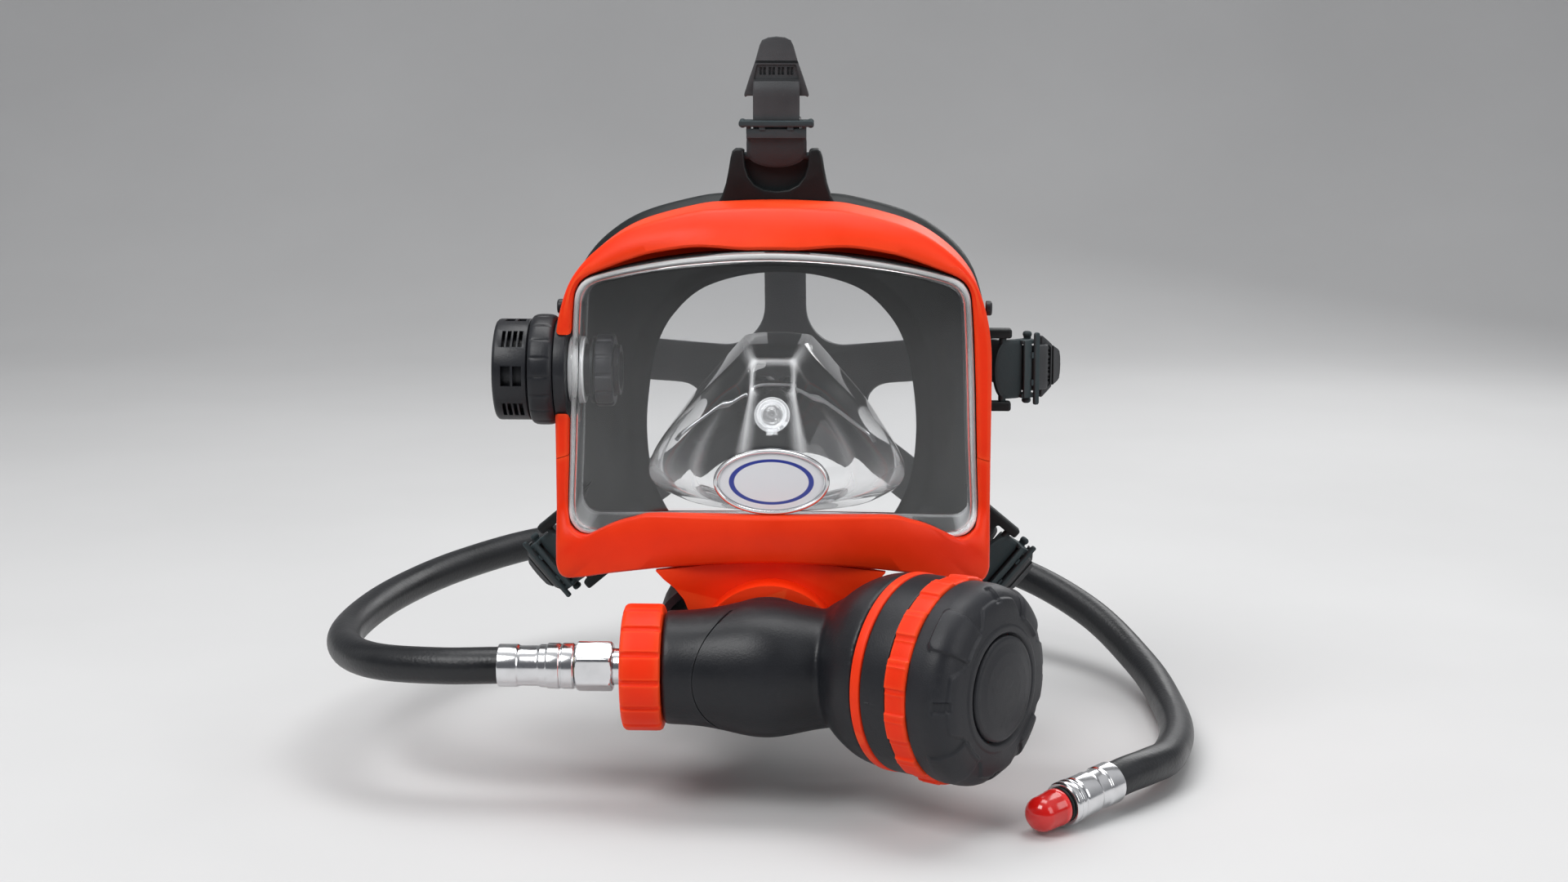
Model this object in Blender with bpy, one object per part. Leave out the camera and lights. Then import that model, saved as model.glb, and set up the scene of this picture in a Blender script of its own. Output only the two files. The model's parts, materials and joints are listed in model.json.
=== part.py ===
"""Full face diving mask with side mounted second stage regulator, low pressure hose and head harness.

Every piece is its own object.  Shapes are laid out in millimetres in the mask's layout
frame (X to the wearer's left, -Y to the front, +Z up, zero at the visor centre) and are
placed in metres with the world origin under the middle of the bounding box.
"Station" means a distance along the axis that a piece is turned about.
"""
import math

import bmesh
import bpy
import numpy as np
from mathutils import Matrix, Vector

for old_object in list(bpy.data.objects):
    bpy.data.objects.remove(old_object, do_unlink=True)

# ---------------------------------------------------------------- driving dimensions (mm)
LAYOUT_ORIGIN = (-5.6, 53.5, -165.9)   # layout point that becomes the world origin
METRES_PER_MM = 0.001
SHARP_ANGLE = math.radians(35.0)

X_AXIS = (1, 0, 0)
Y_AXIS = (0, 1, 0)
Z_AXIS = (0, 0, 1)
RIGHT = (-1, 0, 0)
DOWN = (0, 0, -1)

FRAME_HALF_W = 93.8
FRAME_SEAM_Z = -28.0              # where upper and lower frame halves meet
FRAME_BACK_Y = 30.0
VISOR_FRONT_Y = -30.0             # foremost point of the visor
VISOR_EDGE_Y = -14.0              # visor front at its side corners
VISOR_CORNER_X = 88.0
VISOR_BACK_Y = 24.0
VISOR_T = 2.8
ABV = (0.0, 3.0, 9.0)             # point on the ambient valve axis, which runs along X
REG_Y, REG_Z = -60.0, -107.0      # regulator tube axis, which runs along X
REG = (0.0, REG_Y, REG_Z)
OUTLET = (0, 0, REG_Z)            # the regulator's outlet axis runs along Y through here
DRUM_ANGLE = math.radians(34.0)   # drum axis, turned forward from +X
DRUM_AXIS = (math.cos(DRUM_ANGLE), -math.sin(DRUM_ANGLE), 0.0)
DRUM_START = (30.0, -51.0, -105.0)


# ---------------------------------------------------------------- materials
def material(name, color, roughness, metallic=0.0, transmission=0.0):
    mat = bpy.data.materials.new(name)
    mat.use_nodes = True
    shader = mat.node_tree.nodes["Principled BSDF"]
    shader.inputs["Base Color"].default_value = (*color, 1.0)
    shader.inputs["Roughness"].default_value = roughness
    shader.inputs["Metallic"].default_value = metallic
    shader.inputs["Transmission Weight"].default_value = transmission
    mat.diffuse_color = (*color, 1.0)
    return mat


ORANGE = material("orange_plastic", color=(0.86, 0.085, 0.02), roughness=0.42)
CLEAR = material("clear_plastic", color=(0.95, 0.97, 0.98), roughness=0.05, transmission=1.0)
RUBBER = material("black_rubber", color=(0.035, 0.036, 0.038), roughness=0.6)
BLACK = material("black_plastic", color=(0.03, 0.031, 0.034), roughness=0.45)
CHROME = material("chrome", color=(0.80, 0.81, 0.82), roughness=0.12, metallic=1.0)
STEEL = material("brushed_steel", color=(0.62, 0.63, 0.64), roughness=0.3, metallic=1.0)
BRASS = material("brass", color=(0.72, 0.55, 0.24), roughness=0.25, metallic=1.0)
WHITE = material("white_plastic", color=(0.82, 0.83, 0.84), roughness=0.4)
SILICONE = material("grey_silicone", color=(0.30, 0.31, 0.32), roughness=0.5)
RED = material("red_cap", color=(0.75, 0.02, 0.015), roughness=0.2)
BADGE = material("badge_enamel", color=(0.10, 0.14, 0.22), roughness=0.3)
HOSE = material("hose_rubber", color=(0.028, 0.029, 0.032), roughness=0.5)
GUIDE = material("guide", color=(0.5, 0.5, 0.5), roughness=0.5)


# ---------------------------------------------------------------- objects
def world(point):
    return Vector([(point[i] - LAYOUT_ORIGIN[i]) * METRES_PER_MM for i in range(3)])


def signed_volume(bm):
    total = 0.0
    for face in bm.faces:
        first = face.verts[0].co
        for a, b in zip(face.verts[1:-1], face.verts[2:]):
            total += first.dot(a.co.cross(b.co))
    return total / 6.0


def emit(name, bm, mat, pivot=(0.0, 0.0, 0.0)):
    """Turns a layout-frame bmesh in mm into a named object whose origin sits on its pivot."""
    bmesh.ops.recalc_face_normals(bm, faces=bm.faces[:])
    if signed_volume(bm) < 0:
        bmesh.ops.reverse_faces(bm, faces=bm.faces[:])
    location = world(pivot)
    for vert in bm.verts:
        vert.co = world(vert.co) - location
    mesh = bpy.data.meshes.new(name)
    bm.to_mesh(mesh)
    bm.free()
    mesh.materials.append(mat)
    mesh.shade_smooth()
    mesh.set_sharp_from_angle(angle=SHARP_ANGLE)
    obj = bpy.data.objects.new(name, mesh)
    bpy.context.scene.collection.objects.link(obj)
    obj.location = location
    return obj


def boolean(target, name, bm, operation, solver):
    """Makes a wire guide object and a Boolean modifier on the target that uses it."""
    guide = emit(name, bm, GUIDE)
    guide.hide_render = True
    guide.display_type = "WIRE"
    modifier = target.modifiers.new(name, "BOOLEAN")
    modifier.operation = operation
    modifier.solver = solver
    modifier.object = guide


def add(target, name, bm):
    boolean(target, name, bm, "UNION", "EXACT")


def cut(target, name, bm, solver="EXACT"):
    boolean(target, name, bm, "DIFFERENCE", solver)


# ---------------------------------------------------------------- solids
def loft(rings, loop=False):
    """Skins equally long point rings; loop joins last to first, otherwise the ends are capped."""
    bm = bmesh.new()
    verts = [[bm.verts.new(p) for p in ring] for ring in rings]
    n = len(rings[0])
    pairs = list(zip(verts[:-1], verts[1:])) + ([(verts[-1], verts[0])] if loop else [])
    for a, b in pairs:
        for i in range(n):
            j = (i + 1) % n
            bm.faces.new((a[i], a[j], b[j], b[i]))
    if not loop:
        bm.faces.new(list(reversed(verts[0])))
        bm.faces.new(verts[-1])
    return bm


def axis_frame(direction):
    """Unit axis and two unit vectors square to it."""
    axis = Vector(direction).normalized()
    helper = Vector(Z_AXIS) if abs(axis.z) < 0.9 else Vector(X_AXIS)
    side = helper.cross(axis).normalized()
    return axis, side, axis.cross(side).normalized()


def polar(centre, side, up, radius, k, n):
    """Point k of n on a circle that starts at side and turns towards up."""
    angle = 2 * math.pi * k / n
    return centre + (side * math.cos(angle) + up * math.sin(angle)) * radius


def revolve(profile, origin, direction, steps):
    """Solid of revolution from (station, radius) pairs.

    A profile that starts off the axis is closed into a ring; otherwise both ends lie on it.
    """
    axis, side, _ = axis_frame(direction)
    start = Vector(origin)
    bm = bmesh.new()
    verts = [bm.verts.new(start + axis * station + side * radius) for station, radius in profile]
    edges = [bm.edges.new(pair) for pair in zip(verts[:-1], verts[1:])]
    if profile[0][1] > 0:
        edges.append(bm.edges.new((verts[-1], verts[0])))
    bmesh.ops.spin(bm, geom=verts + edges, cent=start, axis=axis, dvec=(0, 0, 0),
                   angle=2 * math.pi, steps=steps, use_merge=True, use_duplicate=False)
    bmesh.ops.remove_doubles(bm, verts=bm.verts[:], dist=1e-4)
    bmesh.ops.recalc_face_normals(bm, faces=bm.faces[:])
    return bm


def solid(profile, origin, direction, steps):
    """Turned body without a bore, from the (station, radius) pairs of its outside."""
    closed = [(profile[0][0], 0.0)] + profile + [(profile[-1][0], 0.0)]
    return revolve(closed, origin, direction, steps)


def cylinder(start, end, radius, origin, direction, steps):
    return solid([(start, radius), (end, radius)], origin, direction, steps)


def plate(outline, origin, depth, bevel=0.0):
    """Extrudes an outline backwards (+Y); its first coordinate runs to -X, its second to +Z."""
    bm = bmesh.new()
    corner = Vector(origin)
    face = bm.faces.new([bm.verts.new(corner + Vector((-u, 0, v))) for u, v in outline])
    extruded = bmesh.ops.extrude_face_region(bm, geom=[face])["geom"]
    bmesh.ops.translate(bm, vec=(0, depth, 0),
                        verts=[item for item in extruded if isinstance(item, bmesh.types.BMVert)])
    if bevel > 0:
        bmesh.ops.bevel(bm, geom=bm.edges[:], offset=bevel, segments=1, profile=0.5,
                        affect="EDGES", clamp_overlap=True)
    return bm


def block(center, size, bevel=0.0, rotation=None):
    bm = bmesh.new()
    bmesh.ops.create_cube(bm, size=1.0)
    bmesh.ops.scale(bm, vec=size, verts=bm.verts[:])
    if bevel > 0:
        bmesh.ops.bevel(bm, geom=bm.edges[:], offset=bevel, segments=1, profile=0.5,
                        affect="EDGES")
    if rotation is not None:
        bmesh.ops.rotate(bm, cent=(0, 0, 0), matrix=rotation, verts=bm.verts[:])
    bmesh.ops.translate(bm, vec=center, verts=bm.verts[:])
    return bm


def join(bodies):
    """Puts several bodies into the first one's bmesh."""
    joined = bodies[0]
    for body in bodies[1:]:
        mesh = bpy.data.meshes.new("tmp")
        body.to_mesh(mesh)
        body.free()
        joined.from_mesh(mesh)
        bpy.data.meshes.remove(mesh)
    return joined


def pipe(path, radius, sides):
    """Round solid swept along a path with rotation minimising frames."""
    rings = []
    up = Vector(Z_AXIS)
    for i, point in enumerate(path):
        tangent = (path[min(i + 1, len(path) - 1)] - path[max(i - 1, 0)]).normalized()
        up = (up - tangent * up.dot(tangent)).normalized()
        side = tangent.cross(up).normalized()
        rings.append([polar(point, side, up, radius, k, sides) for k in range(sides)])
    return loft(rings)


def coil(origin, direction, start, end, radius, wire, turns):
    """Compression spring between two stations; wire is the wire's radius."""
    steps, sides = 8, 4            # per turn, around the wire
    axis, side, up = axis_frame(direction)
    base = Vector(origin)
    total = turns * steps
    points = [polar(base + axis * (start + wire + (end - start - 2 * wire) * i / total),
                    side, up, radius, i, steps) for i in range(total + 1)]
    rings = []
    for i, point in enumerate(points):
        tangent = (points[min(i + 1, total)] - points[max(i - 1, 0)]).normalized()
        offset = point - base
        outward = (offset - axis * offset.dot(axis)).normalized()
        across = tangent.cross(outward).normalized()
        rings.append([polar(point, outward, across, wire, k, sides) for k in range(sides)])
    return loft(rings)


def flat_bar(points, width, thickness):
    """Flat bar swept through points, with its width along Z."""
    vertical = Vector(Z_AXIS)
    rings = []
    for i, point in enumerate(points):
        tangent = (points[min(i + 1, len(points) - 1)] - points[max(i - 1, 0)]).normalized()
        side = (vertical - tangent * vertical.dot(tangent)).normalized()
        normal = tangent.cross(side).normalized()
        rings.append([point + side * a * width / 2 + normal * b * thickness / 2
                      for a, b in ((-1, -1), (1, -1), (1, 1), (-1, 1))])
    return loft(rings)


# ---------------------------------------------------------------- curves
def spline(points, samples):
    """Uniform Catmull-Rom curve through the points, with samples per span."""
    knots = [Vector(p) for p in points]
    knots = [2 * knots[0] - knots[1]] + knots + [2 * knots[-1] - knots[-2]]
    curve = []
    for i in range(1, len(knots) - 2):
        a, b, c, d = knots[i - 1:i + 3]
        for k in range(samples):
            t = k / samples
            curve.append(0.5 * ((2 * b) + (c - a) * t + (2 * a - 5 * b + 4 * c - d) * t * t
                                + (3 * b - a - 3 * c + d) * t ** 3))
    curve.append(knots[-2])
    return curve


def running_length(points):
    lengths = [0.0]
    for a, b in zip(points[:-1], points[1:]):
        lengths.append(lengths[-1] + (b - a).length)
    return lengths


def resample(path, count):
    """count + 1 points at equal spacing along a path."""
    lengths = running_length(path)
    points, j = [], 0
    for k in range(count + 1):
        target = lengths[-1] * k / count
        while j < len(lengths) - 2 and lengths[j + 1] < target:
            j += 1
        fraction = (target - lengths[j]) / max(lengths[j + 1] - lengths[j], 1e-9)
        points.append(path[j].lerp(path[j + 1], min(max(fraction, 0.0), 1.0)))
    return points


def bezier(p0, p1, p2, p3, t):
    s = 1 - t
    return p0 * s ** 3 + p1 * 3 * s * s * t + p2 * 3 * s * t * t + p3 * t ** 3


def smooth(t):
    """Smooth step from 0 to 1."""
    t = min(max(t, 0.0), 1.0)
    return t * t * (3 - 2 * t)


# ---------------------------------------------------------------- outlines in the front view
class Outline:
    """Left-right symmetric closed outline around the layout origin, as a radius by polar angle."""

    def __init__(self, half):
        """half holds (x, z) from the top middle to the bottom middle on the +X side."""
        samples = 12
        points = [Vector((x, 0, z)) for x, z in half]
        ring = points + [Vector((-p.x, 0, p.z)) for p in reversed(points[1:-1])]
        path = spline([ring[-1]] + ring + ring[:2], samples)[samples:-samples]
        path.sort(key=lambda p: math.atan2(p.z, p.x))
        self.angles = np.array([math.atan2(p.z, p.x) for p in path])
        self.radii = np.array([math.hypot(p.x, p.z) for p in path])

    def radius(self, angle):
        return float(np.interp(angle, self.angles, self.radii, period=2 * math.pi))

    def at(self, angle, y=0.0, grow=0.0):
        radius = self.radius(angle) + grow
        return Vector((radius * math.cos(angle), y, radius * math.sin(angle)))

    def arc(self, start, end, count):
        """count + 1 polar angles between two angles, spaced evenly by length."""
        fine = 600
        angles = [start + (end - start) * i / fine for i in range(fine + 1)]
        lengths = running_length([self.at(angle) for angle in angles])
        return [float(np.interp(lengths[-1] * i / count, lengths, angles))
                for i in range(count + 1)]

    def full_turn(self, count):
        """count polar angles right round, from the bottom middle."""
        return self.arc(-math.pi / 2, 1.5 * math.pi, count)[:-1]


# (x, z) rows
FRAME_OUT = Outline([
    (0, 81), (20, 80.4), (34, 79), (58.6, 72.3), (74.5, 62.8), (85.3, 51), (90.6, 38), (93.2, 24),
    (FRAME_HALF_W, 8), (FRAME_HALF_W, FRAME_SEAM_Z), (FRAME_HALF_W, -66), (93.5, -75),
    (90.5, -79.3), (84, -79), (68, -75.4), (45, -71.3), (22, -68.8), (0, -68)])
VISOR_OUT = Outline([
    (0, 63), (20, 62.2), (40, 59.9), (58, 56.6), (72, 53), (79.5, 50), (83.2, 45.5), (84.6, 38),
    (86.2, 9), (87.3, -25), (88.2, -48), (87.4, -55), (83.5, -59.2), (77, -60), (50, -60),
    (25, -60), (0, -60)])
# inner edge of the lower frame's front lip
LIP_OUT = Outline([
    (0, 62), (58, 55), (82, 46), (85.5, 9), (86.5, -25), (87.6, -50), (86.9, -60.2),
    (82.5, -61.2), (75.5, -57.6), (67, -53.2), (58, -50.2), (50, -48.3), (25, -47.6), (0, -47.6)])
# opening for the face at the back of the skirt
OPENING = Outline([
    (0, 43), (20, 41), (38, 34.5), (51, 22), (58, 8), (61.5, -10), (63, -32), (60, -55),
    (50, -75), (32, -89), (12, -95), (0, -96)])

# ---------------------------------------------------------------- clamp frame
FRAME_CHAMFER = 1.3
FRAME_VISOR_GAP = 0.6
SEAM_ANGLE = math.atan2(FRAME_SEAM_Z, FRAME_HALF_W)
SEAM_GAP = 0.15 / FRAME_HALF_W    # half the gap between the frame halves, as an angle
SCREW_Y, SCREW_Z = 8, 36
SCREW_ANGLE = math.atan2(SCREW_Z, 91)


def visor_y(x):
    """Front surface of the visor at x."""
    return VISOR_FRONT_Y + (VISOR_EDGE_Y - VISOR_FRONT_Y) * (x / VISOR_CORNER_X) ** 2


def centre_bulge(x):
    """1 at the mask's middle plane, 0 at the frame's sides."""
    return 1 - (x / FRAME_HALF_W) ** 2


def upper_frame_mesh():
    rings = []
    ends = (SEAM_ANGLE + SEAM_GAP, math.pi - SEAM_ANGLE - SEAM_GAP)
    for angle in FRAME_OUT.arc(*ends, 30):
        outer = FRAME_OUT.at(angle)
        inner = VISOR_OUT.at(angle, grow=FRAME_VISOR_GAP)
        top = smooth((outer.z - 20) / 40)
        front = -12 - 13.5 * centre_bulge(outer.x) * top
        slope = 11.0 * top * centre_bulge(outer.x)
        inward = (inner - outer).normalized()
        width = (inner - outer).length
        # (distance inwards from the outline, y)
        section = [(0, FRAME_BACK_Y), (0, front + slope + FRAME_CHAMFER),
                   (FRAME_CHAMFER, front + slope * 0.86), (width * 0.5, front + slope * 0.36),
                   (width - FRAME_CHAMFER, front), (width, front + FRAME_CHAMFER),
                   (width, FRAME_BACK_Y)]
        points = [(outer + inward * distance, y) for distance, y in section]
        rings.append([Vector((p.x, y, p.z)) for p, y in points])
    return loft(rings)


def lower_frame_ring(angle):
    outer = FRAME_OUT.at(angle)
    inner = VISOR_OUT.at(angle, grow=FRAME_VISOR_GAP)
    low = smooth((-outer.z - 48) / 20)         # 0 at the sides, 1 along the bottom
    edge = inner.length - 0.15
    lip_radius = edge * (1 - low) + min(LIP_OUT.at(angle).length, edge) * low
    lip = inner.normalized() * lip_radius
    inward = (inner - outer).normalized()
    width = (inner - outer).length
    lip_width = (lip - outer).length

    def back_y(p):
        clear_of_visor = visor_y(min(abs(p.x), VISOR_CORNER_X)) - 1.2
        return (1 - low) * -10 + low * clear_of_visor

    def front_y(p):
        return back_y(p) - (1 - low) * 2 - low * (2.4 + 4.6 * centre_bulge(p.x))

    def at_y(distance, y):
        p = outer + inward * distance
        return Vector((p.x, y, p.z))

    def on_front(distance, offset):
        p = outer + inward * distance
        return Vector((p.x, front_y(p) + offset, p.z))

    return [at_y(0, FRAME_BACK_Y), on_front(0, FRAME_CHAMFER + 1.0 * low),
            on_front(FRAME_CHAMFER, 0.8 * low), on_front(0.5 * lip_width, -0.6 * low),
            on_front(lip_width - FRAME_CHAMFER, 0.0), on_front(lip_width, FRAME_CHAMFER),
            at_y(lip_width, back_y(lip)), at_y(width, back_y(inner)), at_y(width, FRAME_BACK_Y)]


def build_frame():
    upper = emit("upper_frame", upper_frame_mesh(), ORANGE)
    cut(upper, "notch_guide", cylinder(80, 112, 22.8, ABV, RIGHT, 24))
    ends = (-math.pi - SEAM_ANGLE + SEAM_GAP, SEAM_ANGLE - SEAM_GAP)
    rings = [lower_frame_ring(angle) for angle in FRAME_OUT.arc(*ends, 32)]
    emit("lower_frame", loft(rings), ORANGE)


def build_frame_screws():
    side_x = FRAME_OUT.radius(SCREW_ANGLE) * math.cos(SCREW_ANGLE)
    head = [(side_x + 1.0, 3.2), (side_x + 2.6, 3.2), (side_x + 3.2, 2.6)]
    for side, name in ((-1, "frame_screw_right"), (1, "frame_screw_left")):
        emit(name, solid(head, (0, SCREW_Y, SCREW_Z), (side, 0, 0), 12), BLACK)


# chin plate, (x, z) on one side from the plate's own origin
CHIN_ORIGIN, CHIN_DEPTH = (0, -31.5, -92), 4.2
CHIN_TOP = [(49, 19.4), (40, 20.6), (28, 22.1), (14, 23.0), (0, 23.4)]
CHIN_FLARE = [(35, 2), (37, 7), (41, 12), (45.5, 15.6)]
RIM_ORIGIN, RIM_DEPTH = (0, -45.5, -106), 16.4
RIM_R, RIM_BORE_R = 30.6, 24.9
ARCH_R = 25.9                     # clears the outlet boss
SADDLE_R = 24.3                   # clears the regulator tube


def build_chin_plate():
    """Plate with an arched cut-out around the regulator's outlet."""
    outline = ([(-x, z) for x, z in CHIN_TOP] + [(x, z) for x, z in reversed(CHIN_TOP[:-1])]
               + [(x, z) for x, z in reversed(CHIN_FLARE)] + [(-x, z) for x, z in CHIN_FLARE])
    chin = emit("chin_plate", plate(outline, CHIN_ORIGIN, CHIN_DEPTH), ORANGE)
    arc = [math.radians(a) for a in range(30, 151, 10)]
    rim = ([(RIM_R * math.cos(a), RIM_R * math.sin(a)) for a in arc]
           + [(RIM_BORE_R * math.cos(a), RIM_BORE_R * math.sin(a)) for a in reversed(arc)])
    add(chin, "rim_guide", plate(rim, RIM_ORIGIN, RIM_DEPTH))
    cut(chin, "arch_guide", cylinder(-60, -20, ARCH_R, OUTLET, Y_AXIS, 40))
    cut(chin, "saddle_guide", cylinder(-60, 60, SADDLE_R, REG, X_AXIS, 40))


# ---------------------------------------------------------------- visor and badge
BADGE_X, BADGE_Z = 0.5, -33.4
BEZEL_Y, BEZEL_DEPTH = -33.6, 2.7
BEZEL_OUTER = (24.6, 14.2)        # half width, half height
BEZEL_INNER = (22.6, 12.4)
BEZEL_CHAMFER = 0.8
BADGE_Y, BADGE_DEPTH = -32.9, 1.9
BADGE_GAP = 0.3


def visor_mesh():
    angles = VISOR_OUT.full_turn(30)

    def ring(grow, scale=1.0, offset=0.0, y=None):
        """Ring offset behind the front surface, or flat at y where y is given."""
        points = [VISOR_OUT.at(angle, grow=grow) * scale for angle in angles]
        return [Vector((p.x, visor_y(p.x) + offset if y is None else y, p.z)) for p in points]

    inset = -VISOR_T
    return loft([
        ring(inset, 0.42), ring(inset, 0.8), ring(-1.6), ring(0, offset=2.0),
        ring(0, y=VISOR_BACK_Y), ring(inset, y=VISOR_BACK_Y), ring(inset, offset=3.6),
        ring(inset, 0.8, VISOR_T), ring(inset, 0.42, VISOR_T)])


def build_visor():
    visor = emit("visor", visor_mesh(), CLEAR)
    add(visor, "boss_guide", cylinder(82, 88.2, 14.6, ABV, RIGHT, 18))
    cut(visor, "port_bore_guide", cylinder(70, 95, 11.5, ABV, RIGHT, 18))


def build_badge():
    """Oval enamel plate in a chrome oval ring on the front of the visor."""
    sides = 24

    def oval(half_w, half_h):
        turns = [2 * math.pi * k / sides for k in range(sides)]
        return [(half_w * math.cos(a), half_h * math.sin(a)) for a in turns]

    def ring(half_w, half_h, y):
        return [Vector((BADGE_X + x, y, BADGE_Z + z)) for x, z in oval(half_w, half_h)]

    width, height = BEZEL_OUTER
    back_y = BEZEL_Y + BEZEL_DEPTH
    bezel = loft([ring(width, height, back_y), ring(width, height, BEZEL_Y + BEZEL_CHAMFER),
                  ring(width - BEZEL_CHAMFER, height - BEZEL_CHAMFER, BEZEL_Y),
                  ring(*BEZEL_INNER, BEZEL_Y), ring(*BEZEL_INNER, back_y)], loop=True)
    emit("badge_bezel", bezel, CHROME)
    outline = oval(BEZEL_INNER[0] - BADGE_GAP, BEZEL_INNER[1] - BADGE_GAP)
    emit("badge_plate", plate(outline, (BADGE_X, BADGE_Y, BADGE_Z), BADGE_DEPTH), BADGE)


# ---------------------------------------------------------------- face skirt and chin duct
SKIRT_FRONT_Y = FRAME_BACK_Y + 0.5
SKIRT_WALL = 3.2
# (blend from frame outline to face edge, y, growth, rise at the top)
SKIRT_OUTSIDE = [(0, SKIRT_FRONT_Y, 0, 0), (0, 38, 1.0, 3.2), (0.16, 48, 0.6, 4.0),
                 (0.55, 64, 0, 2.0), (0.9, 80, 0, 0), (1.0, 88, -2, 0)]
SKIRT_INSIDE = [(0.88, 76, 0, 0), (0.55, 61, 0, 2.0), (0.16, 46, 0.6, 3.6)]
# (y, growth of the face opening) round the edge that meets the face
FACE_EDGE = [(92, 6.5), (91, 2.0), (87, 0.0), (86.4, 3.0), (83.5, 8.5)]
# (x, z) on one side of the tower with its notch for the buckle
TOWER = [(26, 76), (20.5, 86), (19, 103), (13.5, 103), (12.5, 88), (9, 85)]

# (y, half width, half height, centre z)
DUCT = [(-26.8, 50, 31, -106), (5, 50, 31, -105), (40, 46, 24, -98), (66, 42, 20, -88)]
DUCT_WALL = 3.0
DUCT_GAP = 0.4
DUCT_SIDES = 28


def skirt_point(angle, blend, y, grow, rise):
    frame_radius = FRAME_OUT.radius(angle) - 1.2
    face_radius = OPENING.radius(angle) + 14.0
    radius = frame_radius * (1 - blend) + face_radius * blend + grow
    point = Vector((radius * math.cos(angle), y, radius * math.sin(angle)))
    point.z += rise * smooth(point.z / 60)
    return point


def skirt_mesh():
    angles = FRAME_OUT.full_turn(30)
    rings = [[skirt_point(angle, *row) for angle in angles] for row in SKIRT_OUTSIDE]
    rings += [[OPENING.at(angle, y, grow) for angle in angles] for y, grow in FACE_EDGE]
    rings += [[skirt_point(angle, blend, y, grow - SKIRT_WALL, rise) for angle in angles]
              for blend, y, grow, rise in SKIRT_INSIDE]
    rings.append([skirt_point(angle, 0, 36, -3.0, 1.5) for angle in angles])
    rings.append([VISOR_OUT.at(angle, SKIRT_FRONT_Y, -1.5) for angle in angles])
    return loft(rings, loop=True)


def duct_ring(y, grow=0.0):
    """Squared oval section of the duct that leads from the regulator into the mask."""
    stations, *columns = zip(*DUCT)
    half_w, half_h, centre_z = [float(np.interp(y, stations, column)) for column in columns]

    def squared(value):
        return math.copysign(abs(value) ** 0.75, value)

    turns = [2 * math.pi * k / DUCT_SIDES for k in range(DUCT_SIDES)]
    return [Vector(((half_w + grow) * squared(math.cos(a)), y,
                    centre_z + (half_h + grow) * squared(math.sin(a)))) for a in turns]


def build_chin_port():
    stations = [row[0] for row in DUCT]
    rings = [duct_ring(y) for y in stations]
    rings += [duct_ring(y, -DUCT_WALL) for y in reversed(stations)]
    return emit("chin_port", loft(rings, loop=True), BLACK)


def build_skirt():
    skirt = emit("face_skirt", skirt_mesh(), RUBBER)
    duct_space = loft([duct_ring(y, DUCT_GAP) for y in (20, 40, 66, 71)])
    cut(skirt, "duct_guide", duct_space, solver="MANIFOLD")
    tower = [(-x, z) for x, z in TOWER] + TOWER[::-1]
    add(skirt, "tower_guide", plate(tower, (0, 31.2, 0), 9.5, bevel=0.8))
    return skirt


EXHAUST = (0, 12, 0)              # point on the exhaust axis, which runs straight down


def build_exhaust(chin_port):
    add(chin_port, "exhaust_boss_guide", cylinder(129, 141, 13, EXHAUST, DOWN, 24))
    cut(chin_port, "exhaust_bore_guide", cylinder(118, 146, 9.6, EXHAUST, DOWN, 20))
    flap = solid([(141.4, 11.4), (142.3, 11.4), (143.2, 3)], EXHAUST, DOWN, 20)
    emit("exhaust_flap", flap, SILICONE, pivot=(0, 12, -142))


# ---------------------------------------------------------------- oral nasal mask
# rings from front to back; each holds (x, z, y) from the top middle to the bottom middle
NASAL_RINGS = [
    [(0, 1.5, -9), (9.5, 1.5, -9), (11.5, -14, -13.5), (14, -34, -18), (12, -46, -18),
     (0, -48, -18)],
    [(0, 14, 0), (9, 14, 0), (19, -3, -1), (35, -26, -4), (35, -48, -6), (0, -51, -6)],
    [(0, 18, 14), (12, 17, 14), (30, 0, 12), (50, -26, 12), (53, -49, 12), (0, -53, 12)],
    [(0, 20, 34), (14, 19, 34), (36, -6, 32), (61, -34, 32), (62, -52, 32), (0, -56, 34)],
    [(0, 20, 56), (15, 18, 56), (38, -8, 54), (57, -36, 52), (54, -60, 52), (0, -66, 56)],
]
NASAL_WALL = 2.0
NASAL_CENTRE_Z = -22              # the wall's inset is measured towards this height
VALVE_CENTRE = Vector((0, -11.9, -8.0))
VALVE_AXIS = Vector((0, -1, 0.28)).normalized()
VALVE_SEAT = [(0.4, 4.4), (0.4, 7.6), (1.6, 7.6), (2.2, 7.0), (2.2, 4.4)]
VALVE_FLAP = (3.4, 4.2)           # stations


def nasal_ring(half, inset=0.0, back=0.0):
    ring = []
    for x, z, y in half + [(-x, z, y) for x, z, y in reversed(half[1:-1])]:
        height = z - NASAL_CENTRE_Z
        radius = math.hypot(x, height)
        scale = (radius - inset) / radius
        ring.append(Vector((x * scale, y + back, NASAL_CENTRE_Z + height * scale)))
    return ring


def build_nasal_mask():
    rings = [nasal_ring(half) for half in NASAL_RINGS]
    rings.append(nasal_ring(NASAL_RINGS[-1], inset=NASAL_WALL))
    rings += [nasal_ring(half, inset=NASAL_WALL, back=1.2) for half in NASAL_RINGS[-2:0:-1]]
    rings.append(nasal_ring(NASAL_RINGS[0], inset=0.5, back=2.2))
    mask = emit("oral_nasal_mask", loft(rings), CLEAR)
    cut(mask, "valve_hole_guide", cylinder(-6, 6, 4.6, VALVE_CENTRE, VALVE_AXIS, 16))


def build_check_valve():
    """Round valve in the sloped front facet of the oral nasal mask."""
    emit("check_valve_seat", revolve(VALVE_SEAT, VALVE_CENTRE, VALVE_AXIS, 16), WHITE)
    emit("check_valve_flap", cylinder(*VALVE_FLAP, 6.4, VALVE_CENTRE, VALVE_AXIS, 16), SILICONE,
         pivot=VALVE_CENTRE + VALVE_AXIS * VALVE_FLAP[0])


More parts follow.
